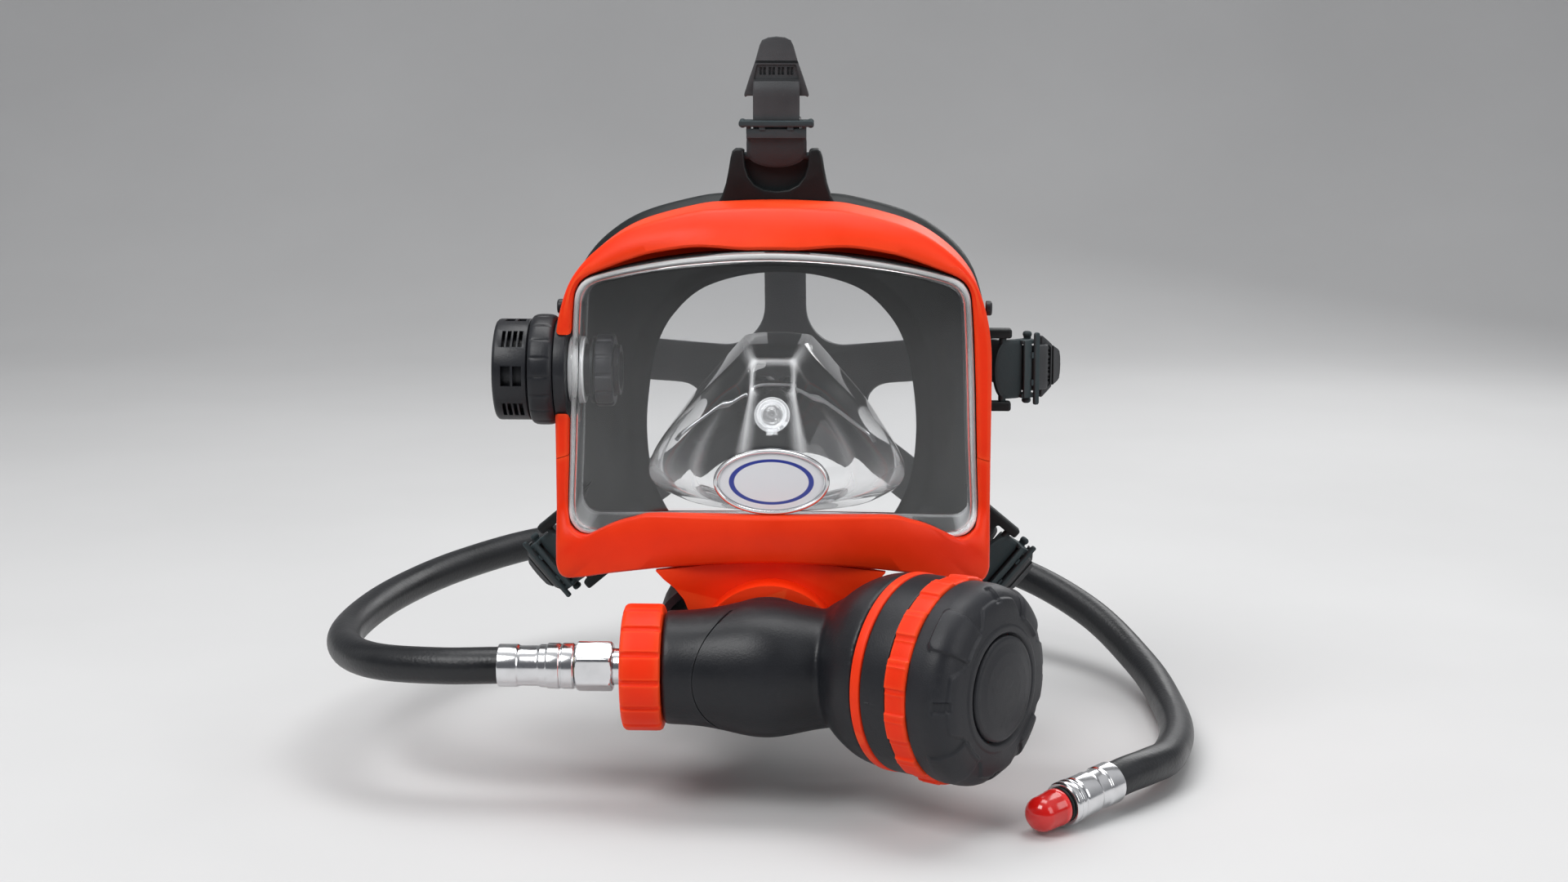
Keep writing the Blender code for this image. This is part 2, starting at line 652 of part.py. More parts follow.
NOSE_PIVOT = (0, 31, -1)
NOSE_WIRE = [(-44, 20, -24), (-40, 26, -20), (-20, 30, -8), (-9, 31, -2), (0, 31, -1),
             (9, 31, -2), (20, 30, -8), (40, 26, -20), (44, 20, -24)]
NOSE_WIRE_R = 0.9
PAD_X, PAD_Y, PAD_Z = 6.2, 37.6, -1.5
PAD_SIZE = (9.2, 10, 9.4)
PAD_BEVEL = 2.2
PAD_TURN = 0.42                   # radians about Z, opposite on the two sides


def nose_pad(side):
    return block((side * PAD_X, PAD_Y, PAD_Z), PAD_SIZE, PAD_BEVEL,
                 Matrix.Rotation(side * PAD_TURN, 3, "Z"))


def build_nose_block():
    """Two pads on a bent wire."""
    wire = pipe(resample(spline(NOSE_WIRE, 5), 20), NOSE_WIRE_R, 6)
    emit("nose_block_wire", wire, STEEL, pivot=NOSE_PIVOT)
    pads = emit("nose_block_pads", nose_pad(-1), RUBBER, pivot=NOSE_PIVOT)
    add(pads, "pad_guide", nose_pad(1))
    add(pads, "bridge_guide", block((0, 34.0, PAD_Z), (8, 2.6, 4.4)))


# ---------------------------------------------------------------- ambient breathing valve
# (station to the wearer's right, radius)
ABV_PORT = [(66, 8.6), (66, 11), (88.5, 11), (88.5, 22.2), (93.6, 22.2), (93.6, 18.5),
            (95, 18.5), (95, 8.6)]
ABV_GASKET = [(76.8, 11.4), (76.8, 14.6), (78.4, 14.6), (78.4, 11.4)]
ABV_LOCK_NUT = [(68.5, 11.4), (68.5, 15.4), (69.6, 16), (76.3, 16), (76.3, 11.4)]
ABV_KNOB = [(93.9, 18.9), (93.9, 22.9), (96, 24.1), (102, 24.1), (104.5, 22.9), (104.5, 14.5),
            (99, 14.5), (99, 18.9)]
ABV_SHUTTER = [(104.8, 16.6), (104.8, 18.6), (116.4, 18.6), (116.4, 16.6)]
ABV_CAGE = [(88, 0), (88, 3.1), (116.8, 3.1), (116.8, 18.9), (104.9, 18.9), (104.9, 22.0),
            (118.6, 22.0), (120, 20.8), (120, 0)]
WEB_CENTRE = (-90, ABV[1], ABV[2])
WINDOW_COUNT = 8
WINDOW_DEPTH = 7.0                # radial size of a window cutter


def window_boxes(radius, start, end, width, phase):
    """Ring of boxes about the valve axis; phase is in window pitches."""
    boxes = []
    for k in range(WINDOW_COUNT):
        angle = 2 * math.pi * (k + phase) / WINDOW_COUNT
        box = block((0, 0, radius), (end - start, width, WINDOW_DEPTH))
        bmesh.ops.rotate(box, cent=(0, 0, 0), matrix=Matrix.Rotation(angle, 3, "X"),
                         verts=box.verts[:])
        bmesh.ops.translate(box, vec=(-(start + end) / 2, ABV[1], ABV[2]), verts=box.verts[:])
        boxes.append(box)
    return join(boxes)


def build_abv_port():
    port = emit("abv_port_body", revolve(ABV_PORT, ABV, RIGHT, 18), BLACK)
    add(port, "web_guide_a", block(WEB_CENTRE, (3, 18.6, 3)))
    add(port, "web_guide_b", block(WEB_CENTRE, (3.4, 3, 18.6)))
    cut(port, "stem_bore_guide", cylinder(84, 98, 3.4, ABV, RIGHT, 12))
    emit("abv_gasket", revolve(ABV_GASKET, ABV, RIGHT, 18), RUBBER)
    emit("abv_lock_nut", revolve(ABV_LOCK_NUT, ABV, RIGHT, 18), BLACK)


def build_abv_head():
    """Knob, windowed shutter and the windowed cage around it."""
    emit("abv_knob", revolve(ABV_KNOB, ABV, RIGHT, 22), BLACK, pivot=(-99, ABV[1], ABV[2]))
    shutter = emit("abv_shutter", revolve(ABV_SHUTTER, ABV, RIGHT, 16), BLACK,
                   pivot=(-110, ABV[1], ABV[2]))
    cut(shutter, "shutter_window_guide", window_boxes(17.6, 107.2, 114.4, width=5.0, phase=0.5))
    cage = emit("abv_cage", revolve(ABV_CAGE, ABV, RIGHT, 24), BLACK)
    cut(cage, "cage_window_guide", window_boxes(20.6, 107.0, 114.6, width=5.6, phase=0))


# ---------------------------------------------------------------- regulator
TUBE_R = 23.6
# (station, radius) on the tube axis, towards +X
TUBE = [(-42.6, 22.6), (-41.6, TUBE_R), (30, TUBE_R)]
AIR_BARREL = [(-66, 5.2), (-66, 7.6), (-42.3, 7.6), (-42.3, 19.6), (-39, 19.6), (-39, 8.2),
              (26, 8.2), (26, 2.0), (24.5, 2.0), (24.5, 5.2)]
POPPET = [(-28, 3.2), (-26.5, 4.8), (-6, 4.8), (-6, 1.4), (36.4, 1.4), (36.4, 3.6), (38.2, 3.6)]
# (station, radius) on the outlet axis, towards +Y
OUTLET_BOSS = [(-80, 9), (-74, 19), (-68, 25.6), (-61, 29), (-53, 29), (-48, 24.6),
               (-27.4, 24.6)]
# (station, radius) on the drum axis, towards the purge button
BELL = [(-6, 18), (-2, 23.5), (6, 28.5), (14, 34.5), (22, 38.6), (28, 40.2), (32.7, 40.6)]
BELL_BORE = [(2, 20), (8, 26), (16, 32), (24, 36), (40, 37.4)]
CLAMP_RING = [(33, 37.7), (33, 40.7), (33.8, 41.3), (36.9, 41.3), (37.7, 40.7), (37.7, 37.7)]
HOUSING_RING = [(38, 37.4), (38, 41.0), (49.7, 41.0), (49.7, 37.4)]
PURGE_COVER = [(60, 38.4), (60, 41.2), (68, 41.4), (73.5, 40.2), (77, 37.2), (78.6, 32.5),
               (79.2, 24), (78.8, 22.3), (76, 22.3), (75.6, 31), (72, 36.6), (66, 38.4)]
PURGE_BUTTON = [(64, 4.6), (75.4, 4.6), (76.2, 21.8), (80.2, 21.8), (81.4, 20.6), (81.8, 10)]
DIAPHRAGM = [(44.2, 26), (45.0, 30), (44.4, 36.4), (45.6, 36.4), (46.2, 30), (45.4, 26)]
DIAPHRAGM_PLATE = [(42.6, 17.5), (43.2, 19), (43.8, 19)]
GRIP_DEPTH = 0.9                  # height of the grip ribs on the two orange rings
LEVER_PIVOT = (44.0, REG_Y, REG_Z)


def drum_point(station, back=0.0):
    """Point on the drum axis, moved square to it towards the back."""
    return Vector((DRUM_START[0] + DRUM_AXIS[0] * station - DRUM_AXIS[1] * back,
                   DRUM_START[1] + DRUM_AXIS[1] * station + DRUM_AXIS[0] * back,
                   DRUM_START[2]))


def ribbed_ring(start, end, radius, bore, origin, direction, lifts):
    """Ring whose outer radius repeats the four lifts round its 48 sides."""
    sides = 48
    axis, side, up = axis_frame(direction)

    def ring(station, ring_radius, rise):
        centre = Vector(origin) + axis * station
        return [polar(centre, side, up, ring_radius + rise[k % 4], k, sides)
                for k in range(sides)]

    smooth_bore = (0.0,) * 4
    return loft([ring(start, radius, lifts), ring(end, radius, lifts),
                 ring(end, bore, smooth_bore), ring(start, bore, smooth_bore)], loop=True)


def build_regulator_body():
    body = emit("regulator_body", solid(TUBE, REG, X_AXIS, 26), BLACK)
    add(body, "boss_union_guide", solid(OUTLET_BOSS, OUTLET, Y_AXIS, 26))
    add(body, "bell_union_guide", solid(BELL, DRUM_START, DRUM_AXIS, 28))
    for name, bore in (
            ("tube_bore_guide", cylinder(-50, 34, 20.3, REG, X_AXIS, 22)),
            ("outlet_bore_guide", cylinder(-60, -20, 20.5, OUTLET, Y_AXIS, 22)),
            ("bell_bore_guide", solid(BELL_BORE, DRUM_START, DRUM_AXIS, 26))):
        cut(body, name, bore, solver="MANIFOLD")


def build_air_inlet():
    """Cap nut, barrel, poppet and spring on the tube axis."""
    nut = ribbed_ring(-60, -43, 25.4, 8.4, REG, X_AXIS, (0.0, 0.0, GRIP_DEPTH, GRIP_DEPTH))
    emit("inlet_cap_nut", nut, ORANGE)
    emit("air_barrel", revolve(AIR_BARREL, REG, X_AXIS, 16), CHROME)
    emit("poppet", solid(POPPET, REG, X_AXIS, 14), BRASS)
    spring = coil(REG, X_AXIS, -4.6, 22.9, radius=3.4, wire=0.5, turns=6)
    emit("poppet_spring", spring, STEEL)


def build_demand_lever():
    """Bell crank on a vertical pin at the barrel's end."""
    pivot = Vector(LEVER_PIVOT)
    tip = drum_point(41.6, 16)
    arm = [pivot + Vector(offset) for offset in ((-0.5, 0, 0), (14, 2.0, 0), (24, 1, 0.8))]
    arm.append(Vector((tip.x, tip.y, REG_Z + 1.8)))
    lever = emit("demand_lever", flat_bar(arm, width=4.4, thickness=1.3), STEEL,
                 pivot=LEVER_PIVOT)
    foot = [pivot + Vector(offset)
            for offset in ((0.4, 0.4, 0), (-1.2, -6.4, 0), (-7.6, -6.8, 0), (-8.6, -2.6, 0))]
    add(lever, "foot_guide", flat_bar(foot, width=3.4, thickness=1.1))
    add(lever, "hub_guide", cylinder(-2.6, 2.6, 2.6, LEVER_PIVOT, Z_AXIS, 12))
    cut(lever, "hub_bore_guide", cylinder(-6, 6, 1.3, LEVER_PIVOT, Z_AXIS, 10))
    pin_centre = (LEVER_PIVOT[0], REG_Y, DRUM_START[2])
    emit("lever_pin", cylinder(-31.4, 31.4, 1.1, pin_centre, Z_AXIS, 10), STEEL)


def build_drum():
    """Rings, purge parts and diaphragm on the drum axis."""
    drum = (DRUM_START, DRUM_AXIS)
    emit("clamp_ring", revolve(CLAMP_RING, *drum, 28), ORANGE)
    emit("housing_ring", revolve(HOUSING_RING, *drum, 28), BLACK)
    lock = ribbed_ring(50, 59.7, 41.9, 38.0, *drum, (GRIP_DEPTH, GRIP_DEPTH, 0.0, 0.0))
    emit("lock_ring", lock, ORANGE, pivot=drum_point(55))
    emit("purge_cover", revolve(PURGE_COVER, *drum, 28), RUBBER)
    emit("purge_button", solid(PURGE_BUTTON, *drum, 22), RUBBER, pivot=drum_point(76))
    emit("purge_spring", coil(*drum, 50, 75.2, radius=7.4, wire=0.7, turns=5), STEEL,
         pivot=drum_point(60))
    emit("diaphragm", solid(DIAPHRAGM, *drum, 24), SILICONE, pivot=drum_point(45))
    emit("diaphragm_plate", solid(DIAPHRAGM_PLATE, *drum, 24), STEEL, pivot=drum_point(43))


# ---------------------------------------------------------------- supply hose
HOSE_R = 7.75
HOSE_BORE = HOSE_R + 0.25         # ferrule bore over the hose
# centre line from the regulator round the back to the wearer's left, (x, y, z)
HOSE_PATH = [
    (-92.5, -60, -107), (-112, -60, -107), (-138, -58, -108), (-168, -44, -110),
    (-187, -14, -112), (-193, 28, -113), (-184, 80, -111), (-160, 132, -108),
    (-122, 180, -106), (-68, 212, -107), (0, 224, -111), (62, 221, -117), (114, 203, -124),
    (152, 166, -137), (175, 118, -152), (182, 70, -158), (180.5, 20, -157),
    (171.5, -24, -154.2), (161, -44, -152.6), (150.5, -56.5, -152.4), (143, -64, -153.4),
    (134.55, -72.45, -154.53)]
HOSE_END = Vector(HOSE_PATH[-2])  # where the outlet ferrule starts
HOSE_END_AXIS = Vector((-0.704, -0.704, -0.094)).normalized()
NUT_FLATS = 19.0                  # width across flats
NUT_START, NUT_END, NUT_CHAMFER = -79.8, -64.3, 1.2
# (station, radius) on the regulator tube axis
NUT_BORE = [(NUT_END, 7.95), (-73, 7.95), (-73, 5.3), (NUT_START, 5.3)]
HOSE_STEM = [(-91.5, 3.0), (-91.5, 4.9), (-72.5, 4.9), (-72.5, 7.3), (-69.3, 7.3), (-69.3, 4.6),
             (-66.6, 4.6), (-66.6, 3.0)]
FERRULE_IN = [(-112.5, HOSE_BORE), (-112.5, 8.9), (-104, 8.9), (-102.6, 8.35), (-96.6, 8.35),
              (-95.2, 8.9), (-86, 9.6), (-80.2, 9.6), (-80.2, 5.2), (-92, 5.2),
              (-92, HOSE_BORE)]
# (station, radius) from the hose end
FERRULE_OUT = [(0, HOSE_BORE), (0, 8.9), (8, 8.9), (9.2, 8.4), (13.5, 8.4), (14.7, 8.9),
               (22.5, 8.9), (24, 8.3), (24, 5.2), (13.6, 5.2), (13.6, HOSE_BORE)]
END_FITTING = [(14.2, 2.8), (14.2, 4.9), (24.4, 4.9), (24.4, 8.7), (25.4, 9.3), (29.6, 9.3),
               (30.6, 8.7), (30.6, 5.6), (41, 5.6), (42, 4.8), (42, 2.8)]
O_RING = [(30.9, 5.9), (30.9, 7.7), (32.3, 7.7), (32.3, 5.9)]
# cup with a domed end, open towards the fitting: the outside, then the inside
DUST_CAP = [(49.4, 0.0), (48.6, 3.6), (46.5, 6.0), (43, 7.3), (36, 7.5), (32.8, 7.3),
            (32.8, 5.9), (43.6, 5.9), (44.9, 5.1), (45.2, 0.0)]


def swivel_nut_mesh():
    """Hexagon nut with chamfered corners and a stepped bore."""
    sides = 18
    axis, side, up = axis_frame(X_AXIS)
    half_flats = NUT_FLATS / 2
    corner = half_flats / math.cos(math.pi / 6)

    def ring(station, radius, hexagonal):
        centre = Vector(REG) + axis * station
        points = []
        for k in range(sides):
            from_flat = (2 * math.pi * k / sides + math.pi / 6) % (math.pi / 3) - math.pi / 6
            reach = min(radius, half_flats / math.cos(from_flat)) if hexagonal else radius
            points.append(polar(centre, side, up, reach, k, sides))
        return points

    outside = [(NUT_START, half_flats - 0.1), (NUT_START + NUT_CHAMFER, corner),
               (NUT_END - NUT_CHAMFER, corner), (NUT_END, half_flats - 0.1)]
    return loft([ring(*row, True) for row in outside] + [ring(*row, False) for row in NUT_BORE],
                loop=True)


def build_hose_inlet():
    emit("swivel_nut", swivel_nut_mesh(), CHROME, pivot=(-72, REG_Y, REG_Z))
    emit("hose_stem", revolve(HOSE_STEM, REG, X_AXIS, 16), BRASS)
    emit("hose_ferrule_inlet", revolve(FERRULE_IN, REG, X_AXIS, 16), CHROME)


def build_hose():
    emit("supply_hose", pipe(resample(spline(HOSE_PATH, 8), 46), HOSE_R, 8), HOSE)


def build_hose_end():
    end = (HOSE_END, HOSE_END_AXIS)
    emit("hose_ferrule_outlet", revolve(FERRULE_OUT, *end, 16), CHROME)
    emit("hose_end_fitting", revolve(END_FITTING, *end, 18), CHROME)
    emit("end_o_ring", revolve(O_RING, *end, 18), RUBBER)
    emit("dust_cap", revolve(DUST_CAP, *end, 20), RED, pivot=HOSE_END + HOSE_END_AXIS * 40)


# ---------------------------------------------------------------- buckles
class Buckle:
    """Strap buckle and its local frame.

    pin: hinge centre; along: direction of the plate; hinge: direction of the pin;
    root: direction from the pin into the skirt; tail: length of the strap's pull tab;
    arm_angle: direction in degrees in which its harness arm leaves the hub.
    """

    def __init__(self, name, pin, along, hinge, root, tail, arm_angle):
        self.name = name
        self.pin = Vector(pin)
        self.along = Vector(along).normalized()
        across = Vector(hinge)
        self.hinge = (across - self.along * across.dot(self.along)).normalized()
        self.outward = self.hinge.cross(self.along).normalized()
        self.root = Vector(root)
        self.tail = tail
        self.arm_angle = arm_angle

    def at(self, along, outward, across=0.0):
        return self.pin + self.along * along + self.outward * outward + self.hinge * across


BUCKLES = [
    Buckle("top", pin=(0, 36, 99.7), along=(0, 0, 1), hinge=(1, 0, 0), root=(0, 0, -1),
           tail=36.0, arm_angle=90),
    Buckle("temple_left", pin=(101, 44, 4), along=(0.80, 0.60, 0), hinge=(0, 0, -1),
           root=(-1, 0, 0), tail=16.0, arm_angle=2),
    Buckle("temple_right", pin=(-101, 44, 4), along=(-0.80, 0.60, 0), hinge=(0, 0, 1),
           root=(1, 0, 0), tail=16.0, arm_angle=178),
    Buckle("jaw_left", pin=(95.5, 46, -82), along=(0.55, 0.70, -0.46), hinge=(-0.64, 0, -0.77),
           root=(-0.77, 0, 0.64), tail=14.0, arm_angle=-50),
    Buckle("jaw_right", pin=(-95.5, 46, -82), along=(-0.55, 0.70, -0.46),
           hinge=(-0.64, 0, 0.77), root=(0.77, 0, 0.64), tail=14.0, arm_angle=-130),
]
PLATE_HALF_W = 13.2
PLATE_HALF_T = 1.4
BAR_STATION = 14.3                # crossbar, along the plate from the pin
LUG_HALF_T = 3.4
# depth into the skirt at the lug's ears and at the web between them
LUG_DEPTHS = {"temple": (12.5, 10.5), "jaw": (30.0, 15.5)}
# strap loop around the crossbar: (along, outward), then its half width and thickness
STRAP_LOOP = [(15.2, -13.2), (13.4, -8.0), (11.6, -3.6), (11.0, 0.0), (12.4, 3.2), (16, 4.3)]
STRAP_LOOP_HALF_W, STRAP_LOOP_T = 10.0, 2.2
# pull tab: (fraction of the tail beyond the loop's end, outward, half width, thickness)
STRAP_TAIL = [(0.38, 4.0, 10.2, 2.4), (0.5, 3.4, 13.2, 4.6), (0.75, 2.4, 10.4, 4.2),
              (1.0, 0.6, 6.2, 2.6)]


def buckle_plate(buckle):
    """D shaped plate with side rails."""
    steps = 6
    turns = [math.pi / 2 * k / steps for k in range(steps + 1)]
    right = [(PLATE_HALF_W * math.sin(a), 1.5 - 6.5 * math.cos(a)) for a in turns]
    right += [(PLATE_HALF_W, BAR_STATION), (11.4, BAR_STATION), (11.4, 8.6)]
    outline = right + [(-x, along) for x, along in reversed(right[1:])]
    return loft([[buckle.at(along, side * PLATE_HALF_T, x) for x, along in outline]
                 for side in (-1, 1)])


def lug_mesh(buckle, ear, web):
    """Moulded tab that reaches out of the skirt and forks around the buckle plate."""
    inward = (buckle.root - buckle.hinge * buckle.root.dot(buckle.hinge)).normalized()
    normal = buckle.hinge.cross(inward).normalized()
    half = [(14.3, 6.0), (14.3, -4.0), (18.6, -4.0), (18.6, ear), (12.0, web)]
    outline = half + [(-x, depth) for x, depth in reversed(half)]
    lug = loft([[buckle.pin + buckle.hinge * x + inward * depth + normal * offset
                 for x, depth in outline] for offset in (-LUG_HALF_T, LUG_HALF_T)])
    # the lugs are joined later, so each one's faces are turned consistently first
    bmesh.ops.recalc_face_normals(lug, faces=lug.faces[:])
    return lug


def strap_end_mesh(buckle):
    """Strap loop around the crossbar with its thick pull tab."""
    loop_end = STRAP_LOOP[-1][0]
    rows = [(along, outward, STRAP_LOOP_HALF_W, STRAP_LOOP_T) for along, outward in STRAP_LOOP]
    rows += [(loop_end + buckle.tail * fraction, *rest) for fraction, *rest in STRAP_TAIL]
    rings = []
    for i, (along, outward, half_w, thickness) in enumerate(rows):
        before, after = rows[max(i - 1, 0)], rows[min(i + 1, len(rows) - 1)]
        tangent = Vector((after[0] - before[0], after[1] - before[1])).normalized()
        normal = Vector((-tangent.y, tangent.x))
        rings.append([buckle.at(along + normal.x * face * thickness / 2,
                                outward + normal.y * face * thickness / 2, side * half_w)
                      for face, side in ((-1, -1), (-1, 1), (1, 1), (1, -1))])
    return loft(rings)


def build_buckles():
    for buckle in BUCKLES:
        name, hinge = buckle.name, buckle.hinge
        base = emit("buckle_" + name, buckle_plate(buckle), BLACK, pivot=buckle.pin)
        bar_centre = buckle.at(BAR_STATION, 0)
        add(base, name + "_bar_guide", cylinder(-16.4, 16.4, 1.8, bar_centre, hinge, 8))
        add(base, name + "_pin_guide", cylinder(-17.2, 17.2, 1.7, buckle.pin, hinge, 8))
        emit("strap_end_" + name, strap_end_mesh(buckle), RUBBER, pivot=buckle.pin)


def build_lugs(skirt):
    """Lugs for all buckles but the top one, and the pin holes of all five."""
    lugs = [lug_mesh(buckle, *LUG_DEPTHS[buckle.name.split("_")[0]]) for buckle in BUCKLES[1:]]
    holes = [cylinder(-17.7, 17.7, 2.1, buckle.pin, buckle.hinge, 8) for buckle in BUCKLES]
    add(skirt, "lug_guide", join(lugs))
    cut(skirt, "lug_hole_guide", join(holes))


# ---------------------------------------------------------------- head harness
HUB = Vector((0, 141, -10))
STRAP_T = 2.4
STRAP_HALF_W = 10.0
ARM_SAMPLES = 240
ARM_ROWS = 6                      # mesh rows along each arm
FILLET_STEPS = 6                  # mesh steps round the web between two arms
HUB_CIRCLES = 3                   # mesh rings between the hub's centre and its border


def hub_direction(degrees):
    """Unit vector in the hub's plane, turned from +X towards +Z."""
    angle = math.radians(degrees)
    return Vector((math.cos(angle), 0, math.sin(angle)))


class Arm:
    """Centre line of a harness arm from the hub to its buckle."""

    def __init__(self, buckle):
        self.buckle = buckle
        self.angle = buckle.arm_angle
        self.direction = hub_direction(self.angle)
        # lengths of the Bezier handles at the hub and at the buckle
        hub_pull, buckle_pull = (66, 52) if buckle.name == "top" else (52, 46)
        end = buckle.at(15.9, -15.6)
        handles = (HUB + self.direction * hub_pull, end - buckle.outward * buckle_pull)
        curve = [bezier(HUB, *handles, end, t / 120) for t in range(121)]
        self.points = resample(curve, ARM_SAMPLES)
        self.length = running_length(self.points)[-1]

    def at(self, distance):
        """Point and width direction at a distance from the hub."""
        position = min(max(ARM_SAMPLES * distance / self.length, 0), ARM_SAMPLES)
        i = min(int(position), ARM_SAMPLES - 1)
        point = self.points[i].lerp(self.points[i + 1], position - i)
        ahead = self.points[min(i + 2, ARM_SAMPLES)]
        tangent = (ahead - self.points[max(i - 1, 0)]).normalized()
        hub_width = Vector((-self.direction.z, 0, self.direction.x))
        hinge = self.buckle.hinge
        end_width = hinge if hinge.dot(hub_width) > 0 else -hinge
        width = hub_width.lerp(end_width, smooth((distance - 45) / (self.length - 60)))
        return point, (width - tangent * width.dot(tangent)).normalized()


class Harness:
    """Middle surface of the hub, its five arms and the rounded webs between them.

    Sector i lies between arms i and i + 1, counted by direction.
    """

    def __init__(self):
        self.arms = sorted([Arm(buckle) for buckle in BUCKLES], key=lambda arm: arm.angle)
        self.count = len(self.arms)
        self.gaps, self.radii, self.tangents = [], [], []
        for i, arm in enumerate(self.arms):
            gap = self.next_angle(i) - arm.angle
            radius = 16.0 if gap < 70 else 20.0
            if arm.angle < -100:               # web between the two jaw arms
                radius = 50.0
            self.gaps.append(gap)
            self.radii.append(radius)
            # distance from the hub at which the web's fillet meets the arm's edge
            self.tangents.append((STRAP_HALF_W + radius) / math.tan(math.radians(gap / 2)))
        self.starts = [max(self.tangents[i], self.tangents[i - 1]) for i in range(self.count)]

    def next_angle(self, i):
        return self.arms[(i + 1) % self.count].angle + (360 if i == self.count - 1 else 0)

    def web_point(self, i, distance, angle):
        """Point of the hub's sheet in sector i; both arms beside it bend it out of plane."""
        blend = smooth((angle - self.arms[i].angle - 12) / (self.gaps[i] - 24))
        point = HUB + hub_direction(angle) * distance
        for arm, weight in ((self.arms[i], 1 - blend),
                            (self.arms[(i + 1) % self.count], blend)):
            point = point + (arm.at(distance)[0] - HUB - arm.direction * distance) * weight
        return point

    def fillet(self, i):
        """Border entries along the rounded web of sector i."""
        angle, following = self.arms[i].angle, self.next_angle(i)
        middle = math.radians((angle + following) / 2)
        radius = self.radii[i]
        centre = (STRAP_HALF_W + radius) / math.sin(math.radians(self.gaps[i] / 2))
        entries = []
        for k in range(FILLET_STEPS + 1):
            # an end that falls on the arm's own corner is left out
            if k == 0 and self.tangents[i] > self.starts[i] - 1:
                continue
            if k == FILLET_STEPS and self.tangents[i] > self.starts[(i + 1) % self.count] - 1:
                continue
            turn = math.radians(angle + 270 + (following + 90 - angle - 270) * k / FILLET_STEPS)
            x = centre * math.cos(middle) + radius * math.cos(turn)
            z = centre * math.sin(middle) + radius * math.sin(turn)
            phi = math.degrees(math.atan2(z, x))
            while phi < angle - 1:
                phi += 360
            entries.append((i, math.hypot(x, z), phi, None))
        return entries

    def border(self):
        """Hub border as (sector, distance, angle, tag); a tag is (side across the arm, arm)."""
        entries = []
        for i, arm in enumerate(self.arms):
            start = self.starts[i]
            half = math.degrees(math.atan(STRAP_HALF_W / start))
            corner = math.hypot(STRAP_HALF_W, start)
            first = arm.angle - half if i else arm.angle - half + 360
            entries.append(((i - 1) % self.count, corner, first, (-1, i)))
            entries.append((i, start, arm.angle, (0, i)))
            entries.append((i, corner, arm.angle + half, (1, i)))
            entries += self.fillet(i)
        return entries

    def border_point(self, entry):
        i, distance, angle, tag = entry
        if tag is None:
            return self.web_point(i, distance, angle)
        side, arm = tag
        point, width = self.arms[arm].at(self.starts[arm])
        return point + width * (side * STRAP_HALF_W)

    def hub_sheet(self, bm):
        """Fills the hub and returns its arm corner vertices by tag."""
        border = self.border()
        loops = [[bm.verts.new(self.web_point(i, distance * (k / HUB_CIRCLES), angle))
                  for i, distance, angle, _ in border] for k in range(1, HUB_CIRCLES)]
        loops.append([bm.verts.new(self.border_point(entry)) for entry in border])
        centre = bm.verts.new(HUB)
        for k in range(len(border)):
            j = (k + 1) % len(border)
            bm.faces.new((centre, loops[0][k], loops[0][j]))
            for a, b in zip(loops[:-1], loops[1:]):
                bm.faces.new((a[k], b[k], b[j], a[j]))
        return {entry[3]: vert for entry, vert in zip(border, loops[-1]) if entry[3]}

    def arm_sheet(self, bm, i, previous):
        """Continues arm i from its three corner vertices at the hub."""
        arm, start = self.arms[i], self.starts[i]
        for k in range(1, ARM_ROWS + 1):
            point, width = arm.at(start + (arm.length - start) * k / ARM_ROWS)
            row = [bm.verts.new(point + width * (side * STRAP_HALF_W)) for side in (-1, 0, 1)]
            for e in (0, 1):
                bm.faces.new((previous[e], row[e], row[e + 1], previous[e + 1]))
            previous = row


def thicken(sheet, thickness):
    """Closed body of even thickness around a sheet."""
    bm = bmesh.new()
    top = {v: bm.verts.new(v.co + v.normal * thickness / 2) for v in sheet.verts}
    bottom = {v: bm.verts.new(v.co - v.normal * thickness / 2) for v in sheet.verts}
    for face in sheet.faces:
        bm.faces.new([top[v] for v in face.verts])
        bm.faces.new([bottom[v] for v in reversed(face.verts)])
    for edge in sheet.edges:
        if len(edge.link_faces) == 1:
            loop = edge.link_loops[0]
            a, b = loop.vert, loop.link_loop_next.vert
            bm.faces.new([top[b], top[a], bottom[a], bottom[b]])
    sheet.free()
    return bm


def build_harness():
    """One moulded rubber sheet: a hub with five arms."""
    harness = Harness()
    sheet = bmesh.new()
    corners = harness.hub_sheet(sheet)
    for i in range(harness.count):
        harness.arm_sheet(sheet, i, [corners[(side, i)] for side in (-1, 0, 1)])
    sheet.normal_update()
    emit("head_harness", thicken(sheet, STRAP_T), RUBBER)


# ---------------------------------------------------------------- assembly
build_frame()
build_frame_screws()
build_chin_plate()
build_visor()
build_badge()
face_skirt = build_skirt()
chin_duct = build_chin_port()
build_nasal_mask()
build_check_valve()
build_nose_block()
build_abv_port()
build_abv_head()
build_regulator_body()
build_air_inlet()
build_demand_lever()
build_drum()
build_exhaust(chin_duct)
build_hose_inlet()
build_hose()
build_hose_end()
build_buckles()
build_lugs(face_skirt)
build_harness()
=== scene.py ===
"""Looks of a full face mask with regulator, supply hose and head harness, built around its frame.

Layout is in millimetres: +X is the wearer's left, -Y the front, +Z up.  world() moves ORIGIN to
the world origin and turns millimetres into metres.
"""
import json
import math

import bmesh
import bpy
import numpy as np
from mathutils import Matrix, Vector

